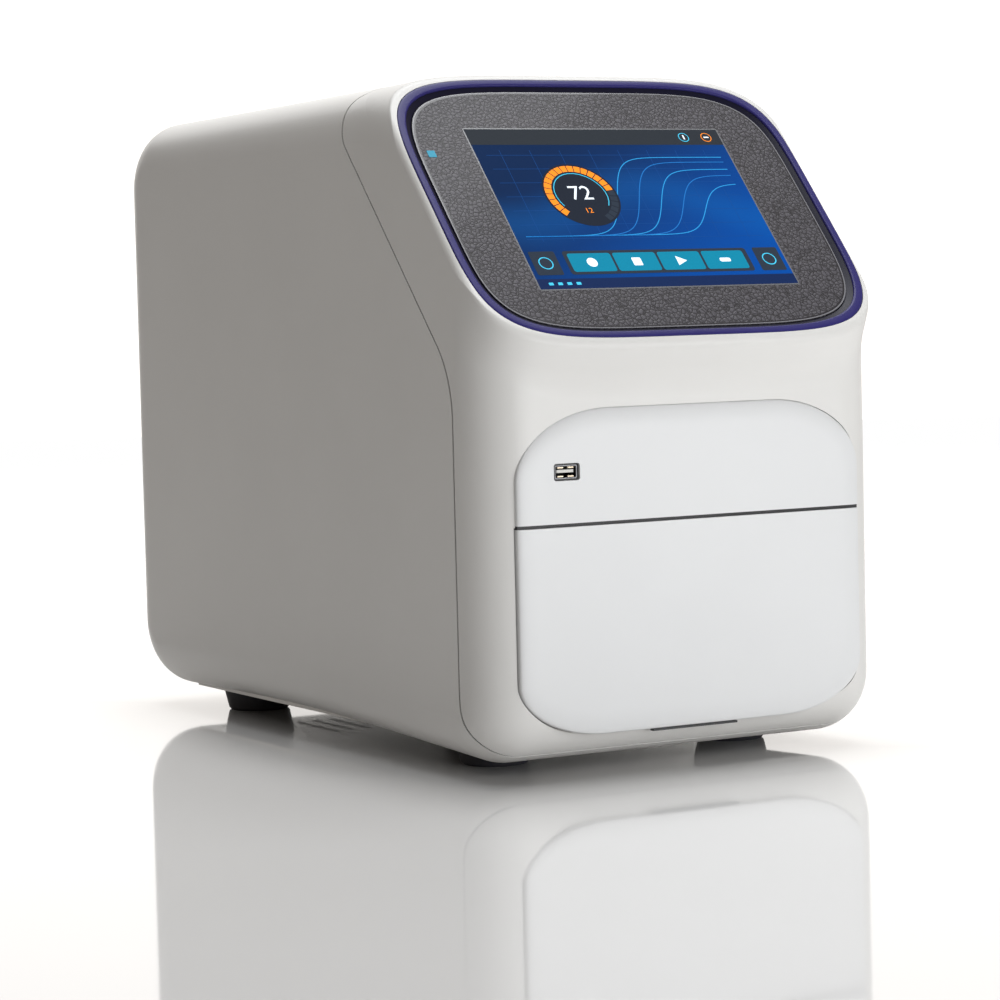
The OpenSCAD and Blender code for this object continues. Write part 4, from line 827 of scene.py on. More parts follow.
@dataclass(frozen=True)
class Covers:
    """The two moulded covers: the front bezel with the screen's rim, and the rear cover."""

    # Stations on each half of the width and pieces of each corner, for outer and for inner forms
    FINE, COARSE, MIDDLE = (56, 18), (24, 8), (40, 12)
    # Angle in degrees from which an edge stays sharp
    SHARP = 32
    # Points of the outline of the hole inside the rim, in the bezel and in the dark band that paints the
    # shade in the parting line
    RING_POINTS, LIP_POINTS = 220, 120

    housing: Housing
    panel: PanelForm
    belly_x: Pair = (-109.4, 109.4)
    belly_y: Pair = (-194.9, 204.4)
    belly_z: Pair = (-1.0, 23.5)
    rear_open: Triple = (202.0, 276.0, 14.0)
    rear_open_z: float = 198.0
    bay_x: Pair = (-96.0, 96.0)
    bay_z: Pair = (34.5, 139.0)
    rail_x: Pair = (-105.9, 105.9)
    rail_z: Pair = (57.5, 94.5)
    rack_x: Pair = (44.0, 55.0)
    rack_z: Pair = (26.5, 139.0)
    port_clear: float = 1.0
    pocket_wall: float = 2.0
    pocket_back: float = 2.5
    # Depths under the skin between which the dark band of painted shade in the parting line lies
    lip_from: float = 0.6
    lip_to: float = 2.6

    def shell(self, name: str) -> Piece:
        """Hollow form of the whole housing with the wide opening over the base."""
        h = self.housing
        inner = h.form(name + "_inside", h.wall, *self.COARSE)
        belly = self.panel.box(name + "_belly", self.belly_x, self.belly_y, self.belly_z)
        return combine(h.form(name, 0.0, *self.FINE), "DIFFERENCE", inner, belly)

    def build(self) -> None:
        """Makes both covers in place of the construction's faceted ones."""
        h, p = self.housing, self.panel
        rear = self.shell("rear_cover_skin")
        opening = rounded_rect(*self.rear_open) + (0, self.rear_open_z)
        rear_hole = prism("rear_hole", opening, along_y, [h.rear_y - 12, h.rear_y + 1])
        combine(rear, "DIFFERENCE", h.seam("ahead", h.seam_gap / 2), rear_hole)
        finish_piece(smooth(rear, self.SHARP), Slot.COVER.finish, ROOT, "cover_white", "rear_cover")

        front = self.shell("front_bezel_skin")
        combine(front, "INTERSECT", h.seam("ahead", -h.seam_gap / 2))
        half, low = p.finger_w / 2, p.z0 - p.gap - p.finger_deep
        finger = p.box("finger_hole", (-half, half), p.behind(-1, 7), (low, p.z0 + 1))
        ring = h.ring_hole("ring_hole", self.RING_POINTS)
        combine(front, "DIFFERENCE", ring, self.panel_hole(p.y + p.thick + 5), finger, self.rack_notch())
        combine(front, "UNION", self.pocket())
        finish_piece(smooth(front, self.SHARP), Slot.COVER.finish, ROOT, "cover_white", "front_bezel")
        self.parting_shade_lip()
        self.finger_shade_lip()

    def rack_notch(self) -> Piece:
        """Room that the drawer's rack passes through."""
        return self.panel.cut("rack_notch", self.rack_x, self.rack_z)

    def parting_shade_lip(self) -> None:
        """Dark band in the depth of the parting line: painted shade, a dark piece that makes the gap read as
        shadow.
        """
        h = self.housing
        lip = h.form("parting_shade_lip", self.lip_from, *self.FINE)
        inside = h.form("lip_inside", self.lip_to, *self.MIDDLE)
        combine(lip, "DIFFERENCE", inside, h.seam("lip_ahead", -h.seam_gap / 2))
        combine(lip, "INTERSECT", h.seam("lip_behind", h.seam_gap / 2 - 0.02))
        combine(lip, "DIFFERENCE", h.ring_hole("lip_ring", self.LIP_POINTS))
        # Dark moulding on the band, as painted shade in the parting line
        finish_piece(smooth(lip, self.SHARP), Slot.DARK.finish, ROOT, "dark_plastic")

    def finger_shade_lip(self) -> None:
        """Dark strip in the depth of the finger slot, which paints the shade in the slot."""
        p = self.panel
        half = p.finger_w / 2 - 0.1
        low = p.z0 - p.gap - p.finger_deep + 0.05
        slot = p.box("finger_slot_shade", (-half, half), p.behind(3.2, 6.9), (low, low + 1.2))
        # Dark moulding on the strip, as painted shade in the finger slot
        finish_piece(slot, Slot.DARK.finish, ROOT, "dark_plastic")

    def panel_hole(self, back: float) -> Piece:
        """Opening for the panel: a narrow joint round the fascia, and a wider gap round the drawer front."""
        p = self.panel
        low = p.through("drawer_hole", p.outline(p.gap), back)
        combine(low, "DIFFERENCE", p.cut("above_slit", p.whole, (p.slit_z, p.SKY)))
        return combine(p.through("panel_hole", p.outline(p.joint), back), "UNION", low)

    def pocket(self) -> Piece:
        """Frame behind the panel, with the drawer's bay, the rails' notches and the socket's hole."""
        p = self.panel
        back = p.y + p.thick + 0.4
        (x, z), (w, h) = p.port_at, p.port_size
        half_w, half_h = w / 2 + self.port_clear, h / 2 + self.port_clear
        pocket = p.through("bezel_pocket", p.outline(p.gap + self.pocket_wall), back + self.pocket_back)
        holes = [
            p.through("pocket_room", p.outline(p.gap), back),
            p.cut("bay", self.bay_x, self.bay_z),
            p.cut("rail_notches", self.rail_x, self.rail_z),
            p.cut("port_room", (x - half_w, x + half_w), (z - half_h, z + half_h)),
            self.rack_notch(),
        ]
        combine(pocket, "DIFFERENCE", *holes)
        return combine(pocket, "INTERSECT", self.housing.form("pocket_limit", 0.02, *self.FINE))


@dataclass(frozen=True)
class FrontPanel:
    """Fascia and drawer front, with the gap of the slit between them."""

    # Angle in degrees from which an edge stays sharp
    SHARP = 28

    panel: PanelForm
    lining_in: float = 0.6
    lining_y: Pair = (2.6, 7.9)
    port_r: float = 1.5
    shell_less: Pair = (2.6, 2.2)
    shell_r: Pair = (0.9, 0.6)
    shell_wall: float = 0.45
    shell_y: Pair = (1.3, 9.0)
    tongue_half: float = 5.4
    tongue_y: Pair = (2.2, 9.0)
    tongue_z: Pair = (-0.4, 1.2)
    spring_at: Pair = (3.3, 2.45)
    spring_half: Pair = (1.9, 0.35)
    spring_y: Pair = (1.7, 6.0)
    back_x: Pair = (-94.0, 94.0)
    back_y: float = -228.0
    back_z: Pair = (36.5, 137.0)

    def build(self) -> None:
        """Makes both halves of the front panel."""
        p = self.panel
        low, high = p.slit_z - p.slit_gap / 2, p.slit_z + p.slit_gap / 2
        fascia = p.solid("fascia_skin")
        port_hole = p.through("port_hole", rounded_rect(*p.port_size, self.port_r) + p.port_at, 0)
        combine(fascia, "DIFFERENCE", p.cut("below", p.whole, (0, high)), port_hole)
        finish_piece(smooth(fascia, self.SHARP), Slot.PANEL.finish, ROOT, "panel_white", "upper_fascia")
        reach = p.w / 2 - self.lining_in
        strip = p.box("slit_lining", (-reach, reach), p.behind(*self.lining_y), (low + 0.1, high))
        finish_piece(strip, Slot.BLACK.finish, ROOT, "black_plastic")
        front = p.solid("drawer_front_skin")
        combine(front, "DIFFERENCE", p.cut("above", p.whole, (low, p.SKY)))
        back = p.box("drawer_back", self.back_x, (p.y + p.thick - 0.5, self.back_y), self.back_z)
        combine(front, "UNION", back)
        finish_piece(smooth(front, self.SHARP), Slot.PANEL.finish, DRAWER, "panel_white", "drawer_front")
        self.socket()

    def socket(self) -> None:
        """Bright shell of the service socket, with its tongue and four contact springs."""
        p = self.panel
        (x, z), (w, h) = p.port_at, p.port_size
        w, h = w - self.shell_less[0], h - self.shell_less[1]
        outer = rounded_rect(w, h, self.shell_r[0]) + (x, z)
        inner = rounded_rect(w - 2 * self.shell_wall, h - 2 * self.shell_wall, self.shell_r[1]) + (x, z)
        shell = prism("port_shell", outer, along_y, p.behind(*self.shell_y))
        combine(shell, "DIFFERENCE", prism("port_shell_room", inner, along_y, p.behind(1, 10)))
        finish_piece(smooth(shell), Slot.MOTOR.finish, ROOT, "port_metal")
        half, levels = self.tongue_half, (z + self.tongue_z[0], z + self.tongue_z[1])
        tongue = p.box("port_tongue", (x - half, x + half), p.behind(*self.tongue_y), levels)
        finish_piece(tongue, Slot.CERAMIC.finish, ROOT, "port_metal")
        half_x, half_z = self.spring_half
        for i, (side, level) in enumerate(((-1, 1), (1, 1), (-1, -1), (1, -1))):
            cx, cz = x + side * self.spring_at[0], z + level * self.spring_at[1]
            extent = (cx - half_x, cx + half_x), p.behind(*self.spring_y), (cz - half_z, cz + half_z)
            finish_piece(p.box(f"port_spring_{i}", *extent), BRONZE, ROOT, "port_metal")


@dataclass(frozen=True)
class TrimRing:
    """Coloured ring round the touch panel, with softly broken edges and a deep inner wall, whose trough is
    painted near-black as shade.
    """

    # Profiles: distance inwards from the outer outline, and height above the rim plane
    BAND = (
        (0.0, -9.6), (0.0, -0.5), (0.12, -0.1), (0.4, 0.16), (0.9, 0.32), (1.6, 0.38), (3.7, 0.34),
        (4.3, 0.16), (4.65, -0.2), (4.8, -0.8), (4.8, -9.6),
    )
    TROUGH = (
        (4.85, -9.6), (4.85, -1.1), (5.6, -1.5), (7.8, -2.5), (8.3, -3.2), (8.3, -4.8), (13.0, -4.9),
        (13.0, -9.6),
    )
    POINTS = 320
    # Angle in degrees from which an edge stays sharp
    SHARP = 38

    housing: Housing
    clear: float = 0.2

    def tube(self, name: str, profile: Sequence[Pair]) -> Piece:
        """Closed tube of a profile round the screen."""
        h = self.housing
        a, b = h.half_w - h.rim_lip - self.clear, h.rim_half_h - h.rim_lip - h.rim_clear - self.clear
        rings = [h.at_height(superellipse(a - d, b - d, h.rim_power, self.POINTS), z) for d, z in profile]
        return smooth(hoop(name, rings, self.SHARP), self.SHARP)

    def build(self) -> None:
        """Makes the bright outer band and the trough inside it, painted near-black as the shade in that
        recess.
        """
        tubes = ("trim_ring_skin", self.BAND, Slot.TRIM.finish), ("trim_ring_trough", self.TROUGH, TROUGH)
        for name, profile, look in tubes:
            finish_piece(self.tube(name, profile), look, ROOT, "trim_blue", "screen_trim_ring")


@dataclass(frozen=True)
class TouchPanel:
    """Printed glass with its polished edge, and the picture of the display."""

    POINTS = 260
    # Depth and height of the hole for the status light, from the rim plane
    LIGHT_LOW, LIGHT_HIGH = -12, 4

    housing: Housing
    inset: float = 8.6
    level: float = -2.0
    thick: float = 2.8
    film: float = 0.03
    light_w: float = 5.2
    light_r: float = 0.6
    light_in: float = 8.5
    light_up: float = 42.5
    rim: Triple = (0.05, 0.75, 1.7)
    rim_lift: Pair = (0.03, 0.02)

    @property
    def half(self) -> Pair:
        """Half width and half height of the glass."""
        h = self.housing
        return h.half_w - h.rim_lip - self.inset, h.rim_half_h - h.rim_lip - h.rim_clear - self.inset

    def edge(self, d: float) -> np.ndarray:
        """Outline of the glass, set inwards by d."""
        a, b = self.half
        return superellipse(a - d, b - d, self.housing.rim_power, self.POINTS)

    def plate(self, name: str, outline: np.ndarray, look: Finish, lift: float) -> Piece:
        """A thin flat piece of the picture, lying on the glass, from an outline along and up the screen."""
        top = self.level + lift
        made = self.housing.screen_prism(name, outline, top - self.film, top)
        return finish_piece(made, look, ROOT, "display")

    def band(self, name: str, outer: np.ndarray, inner: np.ndarray, look: Finish, lift: float) -> Piece:
        """A thin flat band between two outlines that have the same number of points."""
        top, low = self.level + lift, self.level + lift - self.film
        corners = (outer, low), (outer, top), (inner, top), (inner, low)
        made = hoop(name, [self.housing.at_height(flat, z) for flat, z in corners])
        return finish_piece(made, look, ROOT, "touch_glass")

    def build(self) -> None:
        """Makes the glass with its hole for the status light, its ground edge and the picture."""
        h = self.housing
        glass = h.screen_prism("touch_glass_skin", self.edge(0.0), self.level - self.thick, self.level)
        at = -self.half[0] + self.light_in, self.light_up
        hole = rounded_rect(self.light_w, self.light_w, self.light_r) + at
        light_hole = h.screen_prism("light_hole", hole, self.LIGHT_LOW, self.LIGHT_HIGH)
        combine(glass, "DIFFERENCE", light_hole)
        finish_piece(smooth(glass), Slot.GLASS.finish, ROOT, "touch_glass", "touch_panel")
        ground, line, inside = (self.edge(d) for d in self.rim)
        self.band("glass_ground_edge", ground, line, EDGE, self.rim_lift[0])
        self.band("glass_dark_line", line, inside, DARK_LINE, self.rim_lift[1])
        Picture(self).build()


@dataclass(frozen=True)
class Picture:
    """A generic screen: header, plot field with a dial, a row of buttons and a status strip.

    Places are millimetres from the middle of the display's width and from its lower edge.
    """

    # Lift of the lowest layer over the glass, and of each layer over the one below it
    LIFT, LAYER = 0.05, 0.03
    # Middle and height of each rising curve, and half the run of its steep part
    CURVES = ((-6, 62), (8, 58), (22, 52), (36, 47), (50, 40))
    CURVE_RUN = 6.5
    # The dial: radii of its face, band and inner line, in millimetres, and its angles in degrees
    DIAL_R, BAND_R, LINE_R = 24.5, (18.6, 23.2), (16.9, 17.4)
    SEGMENTS, LIT_SEGMENTS, PITCH, SEGMENT, START = 24, 18, 12.0, 10.4, 214.0

    glass: TouchPanel
    w: float = 173.5
    h: float = 125.0
    base: float = -62.7
    status_top: float = 7.6
    header_low: float = 112.4
    field_s: Pair = (7.0, 113.0)
    icon_s: float = 118.6
    icon_x: Pair = (61.0, 77.0)
    icon_r: Pair = (3.6, 3.1)
    plot_x: Pair = (-80.0, 80.0)
    plot_s: Pair = (36.0, 108.0)
    grid_half: float = 0.12
    dial_at: Pair = (-30.0, 72.0)
    row_s: Pair = (10.5, 28.5)
    row_half: float = 62.0
    button_x: float = -59.5
    button_s: Pair = (12.5, 26.5)
    button_w: float = 28.5
    button_pitch: float = 30.0
    mark_in: float = 14.3
    mark_s: float = 19.5
    tile_x: float = 75.5
    tile_half: float = 8.5
    tile_icon_r: Pair = (4.6, 3.9)

    def shape(self, name: str, outline: np.ndarray, x: float, s: float, look: Lit, layer: int) -> Piece:
        """A plate with its outline about (x, s)."""
        lift = self.LIFT + self.LAYER * layer
        return self.glass.plate(name, np.asarray(outline) + (x, s + self.base), look.value, lift)

    def rect(self, name: str, x: Pair, s: Pair, look: Lit, layer: int, r: float = 0.3) -> Piece:
        """A rectangular plate between two values of x and s."""
        outline = rounded_rect(x[1] - x[0], s[1] - s[0], r, 5)
        return self.shape(name, outline, (x[0] + x[1]) / 2, (s[0] + s[1]) / 2, look, layer)

    def disc(self, name: str, x: float, s: float, r: float, look: Lit, layer: int) -> Piece:
        """A round plate."""
        return self.shape(name, superellipse(r, r, 2, 72), x, s, look, layer)

    def stroke(self, name: str, path: np.ndarray, width: float, look: Lit, layer: int) -> Piece:
        """A plate of constant width along a path, whose sides lie half a width from it along its normals."""
        step = np.gradient(path, axis=0)
        side = np.column_stack([-step[:, 1], step[:, 0]])
        side /= np.linalg.norm(side, axis=1)[:, None]
        outline = np.concatenate([path + side * width / 2, (path - side * width / 2)[::-1]])
        return self.shape(name, outline, 0, 0, look, layer)

    def sector(self, name: str, radii: Pair, angles: Pair, look: Lit, layer: int) -> Piece:
        """A plate about the dial's middle, between two radii and two angles in degrees."""
        t = np.radians(np.linspace(*angles, 20))
        arc = np.column_stack([np.cos(t), np.sin(t)])
        outline = np.concatenate([arc * radii[1], (arc * radii[0])[::-1]])
        return self.shape(name, outline, *self.dial_at, look, layer)

    def digits(self, name: str, text: str, at: Pair, size: float, look: Lit, layer: int) -> Piece:
        """Plain figures, flat on the screen.

        Args:
            name: name of the piece.
            text: the figures.
            at: their middle, as x and s.
            size: their height of type.
            look: their finish.
            layer: layer of the picture that they lie in.

        Returns:
            The figures as one mesh.
        """
        curve = bpy.data.curves.new(name, "FONT")
        curve.body = text
        curve.align_x = "CENTER"
        curve.align_y = "CENTER"
        curve.size = size
        curve.resolution_u = 3
        holder = place_object(name + "_text", curve)
        graph = bpy.context.evaluated_depsgraph_get()
        mesh = bpy.data.meshes.new_from_object(holder.evaluated_get(graph))
        bpy.data.objects.remove(holder)
        points = np.empty(len(mesh.vertices) * 3)
        mesh.vertices.foreach_get("co", points)
        flat = points.reshape(-1, 3)[:, :2] + (at[0], at[1] + self.base)
        placed = self.glass.housing.at_height(flat, self.glass.level + self.LIFT + self.LAYER * layer) * MM
        mesh.vertices.foreach_set("co", placed.ravel())
        mesh.update()
        return finish_piece(place_object(name, mesh), look.value, ROOT, "display")

    def build(self) -> None:
        """Makes the picture's parts, from the field at the back to the figures in front."""
        x = -self.w / 2, self.w / 2
        middle = 0, self.h / 2 + self.base
        border = [rounded_rect(self.w + 2 * d, self.h + 2 * d, 0.6 + d) + middle for d in (0.9, 0.0)]
        self.glass.band("display_outline", border[0], border[1], OUTLINE, 0.04)
        self.field(x)
        self.rect("screen_header", x, (self.header_low, self.h), Lit.HEADER, 1)
        self.rect("screen_status_strip", x, (0, self.status_top), Lit.STATUS, 1)
        self.curves()
        self.dial()
        self.buttons()
        self.header_icons()
        for i in range(4):
            self.rect(f"status_mark_{i}", (-80 + 6 * i, -77 + 6 * i), (2.9, 4.9), Lit.CYAN, 2, 0.4)

    def header_icons(self) -> None:
        """Two ringed marks in the header, one with an upright bar and one with a level bar."""
        s = self.icon_s
        bars = ((0.5, 1.8), (1.8, 0.5))
        for i, (x, look, bar) in enumerate(zip(self.icon_x, (Lit.CYAN, Lit.ORANGE), bars), 1):
            self.disc(f"header_icon_{i}", x, s, self.icon_r[0], look, 2)
            self.disc(f"header_icon_{i}_face", x, s, self.icon_r[1], Lit.HEADER, 3)
            extent = (x - bar[0], x + bar[0]), (s - bar[1], s + bar[1])
            self.rect(f"header_icon_{i}_bar", *extent, Lit.DIGIT, 4, 0.2)

    def field(self, x: Pair) -> None:
        """Blue field that brightens towards its lower right, with a faint grid."""
        back = self.rect("screen_field", x, self.field_s, Lit.GRID, 0)
        back.data.materials[0] = FieldBlue().material(self.glass.housing, self.base)
        half = self.grid_half
        for i in range(8):
            at = -70 + 20 * i
            self.rect(f"grid_upright_{i}", (at - half, at + half), self.plot_s, Lit.GRID, 1, 0.05)
        for i in range(7):
            at = 38 + 11 * i
            self.rect(f"grid_level_{i}", self.plot_x, (at - half, at + half), Lit.GRID, 1, 0.05)

    def curves(self) -> None:
        """Rising curves: each stays low, climbs round its own middle and levels out."""
        x = np.linspace(*self.plot_x, 90)
        for i, (middle, top) in enumerate(self.CURVES):
            s = 40 + top / (1 + np.exp(-(x - middle) / self.CURVE_RUN))
            self.stroke(f"curve_{i}", np.column_stack([x, s]), 0.55, Lit.CURVE if i % 2 else Lit.TRACE, 2)

    def dial(self) -> None:
        """Round gauge with a segmented band and plain figures."""
        x, s = self.dial_at
        self.disc("dial_face", x, s, self.DIAL_R, Lit.DIAL, 3)
        for i in range(self.SEGMENTS):
            start = self.START - self.PITCH * i
            look = Lit.ORANGE if i < self.LIT_SEGMENTS else Lit.TILE
            self.sector(f"dial_segment_{i}", self.BAND_R, (start, start + self.SEGMENT), look, 4)
        self.sector("dial_inner_line", self.LINE_R, (-30, 210), Lit.CYAN, 4)
        self.digits("dial_figures", "72", (x, s + 1), 15.5, Lit.DIGIT, 5)
        self.digits("dial_small_figures", "12", (x, s - 12.5), 5.5, Lit.ORANGE, 5)

    def buttons(self) -> None:
        """Row of four teal buttons between two grey tiles."""
        self.rect("button_row", (-self.row_half, self.row_half), self.row_s, Lit.TILE, 3, 2)
        for i in range(4):
            x = self.button_x + self.button_pitch * i
            self.rect(f"button_{i}", (x, x + self.button_w), self.button_s, Lit.BUTTON, 4, 1.6)
        arrow = np.array([(-3, -3.6), (3.8, 0), (-3, 3.6)])
        marks = superellipse(3.4, 3.4, 2, 40), rounded_rect(6, 6, 0.6), arrow, rounded_rect(7.5, 3, 1.2)
        for i, mark in enumerate(marks):
            x = self.button_x + self.mark_in + self.button_pitch * i
            self.shape(f"button_mark_{i}", mark, x, self.mark_s, Lit.DIGIT, 5)
        for tag, x in (("left", -self.tile_x), ("right", self.tile_x)):
            self.rect(f"tile_{tag}", (x - self.tile_half, x + self.tile_half), self.row_s, Lit.TILE, 3, 1.2)
            self.disc(f"tile_icon_{tag}", x, self.mark_s, self.tile_icon_r[0], Lit.CYAN, 4)
            self.disc(f"tile_icon_face_{tag}", x, self.mark_s, self.tile_icon_r[1], Lit.TILE, 5)


@dataclass(frozen=True)
class FieldBlue:
    """Blue of the plot field: a soft slope from deep to bright, crossed by one broad faint wave.

    The wave follows s = swing * sin(turns * x + start) + level and fades over wave_half to each side.
    Places are millimetres, as in Picture.
    """

    half_w: float = 87.0
    s: Pair = (7.0, 113.0)
    across: float = 0.55
    slope: Pair = (0.15, 0.95)
    turns: float = 0.035
    start: float = 1.2
    swing: float = 14.0
    level: float = 62.0
    wave_half: float = 26.0
    wave_share: float = 0.28
    deep: Triple = (0.002, 0.013, 0.050)
    bright: Triple = (0.001, 0.045, 0.225)
    wave_color: Triple = (0.003, 0.085, 0.30)

    def material(self, housing: Housing, base: float) -> bpy.types.Material:
        """Makes the material.

        Args:
            housing: housing that the display lies in.
            base: lower edge of the display, along the screen from its middle.

        Returns:
            The material.
        """
        made = lit("Screen field", (0.02, 0.10, 0.42), 0.80).material()
        tree = made.node_tree
        shader = next(n for n in tree.nodes if n.type == "BSDF_PRINCIPLED")
        place = next(n for n in tree.nodes if n.type == "TEX_COORD").outputs["Object"]
        split = add_node(tree, "ShaderNodeSeparateXYZ", values={0: place})
        x, z = (Sock(tree, split.outputs[i]) / MM for i in (0, 2))
        s = (z - housing.screen_z) / float(housing.up[1]) - base
        low, high = self.s
        right = (x + self.half_w) / (2 * self.half_w)
        slope = (right * self.across + (high - s) / (high - low) * (1 - self.across)).ramp(*self.slope)
        away = (x * self.turns + self.start).sine() * self.swing + self.level - s
        glow = 1.0 - abs(away / self.wave_half).ramp(0.0, 1.0)
        color = slope.mix(self.deep, self.bright)
        color = (glow * self.wave_share).mix(color, self.wave_color)
        for name in ("Base Color", "Emission Color"):
            tree.links.new(color.socket, shader.inputs[name])
        return made


class CadFinishes:
    """Procedural finishes on every node that the construction supplies."""

    def build(self) -> None:
        """Puts the finish of its record slot on each node."""
        looks = {slot.value[0]: slot.finish for slot in Slot}
        for part in frame["record"]["subparts"]:
            node = frame["nodes"][part["node"]]
            look = looks[part["material_slot"]]
            node.data.materials.clear()
            node.data.materials.append(look.material())
            LOG.info("%s in %s", part["node"], look.name)


# Studio


@dataclass(frozen=True)
class Lamp:
    """A soft rectangular light at one point, facing another, in metres and watts.

    Args:
        name: name of the light.
        at: its middle.
        to: point that it faces.
        size: its width and height.
        power: its power.
        mirrored: False leaves its image out of polished faces.
    """

    COLOR = (0.965, 0.985, 1.0)

    name: str
    at: Triple
    to: Triple
    size: Pair
    power: float
    mirrored: bool = True

    def build(self) -> None:
        """Makes the light, which the camera doesn't see."""
        data = bpy.data.lights.new(self.name, "AREA")
        data.shape = "RECTANGLE"
        data.size, data.size_y = self.size
        data.energy = self.power
        data.color = self.COLOR
        lamp = place_object(self.name, data)
        lamp.visible_camera = False
        lamp.visible_glossy = self.mirrored
        z = np.array(self.at) - np.array(self.to)
        x = np.cross((0, 0, 1), z)
        lamp.matrix_world = facing(x, np.cross(z, x), z, self.at)


def facing(x: np.ndarray, y: np.ndarray, z: np.ndarray, at: Triple) -> Matrix:
    """Place of an object whose own X, Y and Z point along three directions, at a point."""
    turn = np.column_stack([axis / np.linalg.norm(axis) for axis in (x, y, z)])
    return Matrix([(*row, a) for row, a in zip(turn, at)] + [(0, 0, 0, 1)])


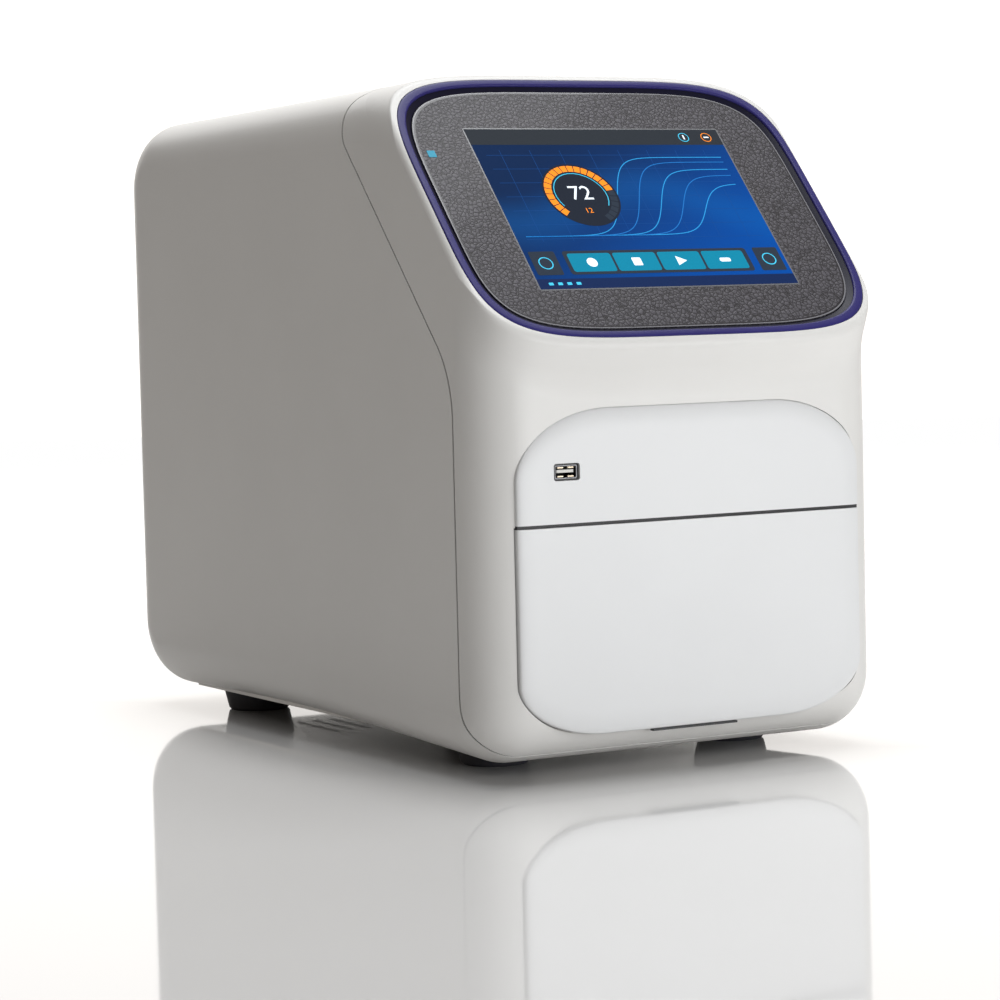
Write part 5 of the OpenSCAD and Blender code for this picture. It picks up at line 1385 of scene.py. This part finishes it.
@dataclass(frozen=True)
class Studio:
    """Pale floor, white surroundings, soft lights and the camera of the photograph, in metres and degrees."""

    LAMPS = (
        Lamp("key", (0.8, -2.8, 0.85), (0.0, -0.2, 0.2), (1.9, 1.3), 30, mirrored=False),
        Lamp("low", (0.35, -1.6, 0.14), (0.0, -0.24, 0.04), (1.3, 0.22), 5.5),
        Lamp("top", (0.2, 0.2, 2.2), (0.0, 0.0, 0.2), (1.8, 1.8), 42),
    )

    camera_at: Triple = (-1.0042, -1.7788, 0.2768)
    azimuth: float = -29.7
    elevation: float = 3.8
    roll: float = -1.4
    lens: float = 117.1
    floor_half: float = 8.0
    floor_color: Triple = (0.66, 0.652, 0.645)
    floor_fade: Pair = (1.2, 3.4)
    floor_glow: float = 0.14
    # Half sizes of the floor's painted contact shadow under the instrument, in metres, and the width over
    # which it fades
    shade_half: Pair = (0.09, 0.20)
    shade_edge: float = 0.12
    wall_away: float = 4.2
    wall_half: float = 3.2
    wall_high: float = 4.0
    wall_color: Triple = (1.0, 0.965, 0.93)
    wall_glow: float = 1.4
    dusk: Triple = (1.0, 0.88, 0.77)
    dusk_light: float = 0.07
    mirrored_light: float = 0.3

    def floor(self) -> None:
        """Polished pale floor that glows faintly beside the instrument and fades into the white; the glow is
        left out under the instrument as a painted contact shadow.
        """
        s = self.floor_half
        plane = self.sheet("floor", [(-s, -s, 0), (s, -s, 0), (s, s, 0), (-s, s, 0)])
        shader, tree = self.stage_material(plane, self.floor_color, 0.05)
        place = add_node(tree, "ShaderNodeTexCoord").outputs["Object"]
        far = add_node(tree, "ShaderNodeVectorMath", {"operation": "LENGTH"}, {0: place}).outputs["Value"]
        split = add_node(tree, "ShaderNodeSeparateXYZ", values={0: place})
        # The glow fades out over the instrument's footprint, which paints its contact shadow on the floor
        x, y = (abs(Sock(tree, split.outputs[i])) - half for i, half in enumerate(self.shade_half))
        beside = x.highest(y).ramp(0.0, self.shade_edge)
        glow = beside.mix((0.0, 0.0, 0.0), (1.0, 1.0, 1.0))
        fade = 1.0 - Sock(tree, far).ramp(*self.floor_fade)
        tree.links.new(fade.socket, shader.inputs["Alpha"])
        tree.links.new(glow.socket, shader.inputs["Emission Color"])
        shader.inputs["Emission Strength"].default_value = self.floor_glow
        shader.inputs["IOR"].default_value = 2.0

    def backdrop(self) -> None:
        """White wall far behind the instrument, which the floor mirrors."""
        a = math.radians(self.azimuth)
        away, side = np.array([-math.sin(a), math.cos(a), 0.0]), np.array([math.cos(a), math.sin(a), 0.0])
        foot, wide, high = self.wall_away * away, self.wall_half * side, np.array([0.0, 0.0, self.wall_high])
        wall = self.sheet("backdrop", [foot - wide, foot + wide, foot + wide + high, foot - wide + high])
        shader, _ = self.stage_material(wall, (0.0, 0.0, 0.0), 1.0)
        shader.inputs["Specular IOR Level"].default_value = 0.0
        shader.inputs["Emission Color"].default_value = (*self.wall_color, 1)
        shader.inputs["Emission Strength"].default_value = self.wall_glow

    @staticmethod
    def sheet(name: str, corners: Sequence[Sequence[float]]) -> Piece:
        """A flat four-cornered sheet of the stage, in metres."""
        mesh = bpy.data.meshes.new(name)
        mesh.from_pydata([tuple(map(float, c)) for c in corners], [], [(0, 1, 2, 3)])
        made = place_object(name, mesh)
        return made

    @staticmethod
    def stage_material(obj: Piece, color: Triple, roughness: float) -> tuple[bpy.types.Node, Tree]:
        """Plain material for a sheet of the stage.

        Args:
            obj: the sheet.
            color: linear base colour.
            roughness: roughness of its face.

        Returns:
            The material's shader node and its node tree.
        """
        made = bpy.data.materials.new(obj.name)
        made.use_nodes = True
        shader = made.node_tree.nodes["Principled BSDF"]
        shader.inputs["Base Color"].default_value = (*color, 1)
        shader.inputs["Roughness"].default_value = roughness
        obj.data.materials.append(made)
        return shader, made.node_tree

    def world(self) -> None:
        """White for the camera, pale in reflections and a soft warm grey as light."""
        world = bpy.data.worlds.new("Studio")
        bpy.context.scene.world = world
        world.use_nodes = True
        tree = world.node_tree
        tree.nodes.clear()
        path = add_node(tree, "ShaderNodeLightPath")
        rays = ("Is Camera Ray", "Is Transmission Ray", "Is Glossy Ray")
        seen, through, mirror = (Sock(tree, path.outputs[ray]) for ray in rays)
        direct = seen.highest(through)
        strength = (direct * (1 - self.dusk_light) + self.dusk_light).highest(mirror * self.mirrored_light)
        values = {"Color": direct.mix(self.dusk, (1.0, 1.0, 1.0)), "Strength": strength}
        back = add_node(tree, "ShaderNodeBackground", values=values)
        add_node(tree, "ShaderNodeOutputWorld", values={"Surface": back.outputs[0]})

    def camera(self) -> None:
        """Camera at the photograph's place."""
        a, e, r = (math.radians(v) for v in (self.azimuth, self.elevation, self.roll))
        back = np.array([math.sin(a) * math.cos(e), -math.cos(a) * math.cos(e), math.sin(e)])
        right = np.array([math.cos(a), math.sin(a), 0.0])
        up = np.cross(back, right)
        right, up = math.cos(r) * right + math.sin(r) * up, -math.sin(r) * right + math.cos(r) * up
        data = bpy.data.cameras.new("camera")
        data.lens = self.lens
        data.sensor_width = 36.0
        data.clip_end = 50.0
        eye = place_object("camera", data)
        eye.matrix_world = facing(right, up, back, self.camera_at)
        bpy.context.scene.camera = eye

    def build(self) -> None:
        """Sets the studio up."""
        self.floor()
        self.backdrop()
        self.world()
        for lamp in self.LAMPS:
            lamp.build()
        self.camera()
        view = bpy.context.scene.view_settings
        view.view_transform = "Standard"
        view.look = "None"


def main() -> None:
    """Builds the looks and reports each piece."""
    logging.basicConfig(level=logging.INFO, format="%(name)s: %(message)s")
    housing = Housing()
    panel = PanelForm(housing)
    CadFinishes().build()
    Covers(housing, panel).build()
    FrontPanel(panel).build()
    TrimRing(housing).build()
    TouchPanel(housing).build()
    Studio().build()
    bpy.context.view_layer.update()


if __name__ == "__main__":
    main()
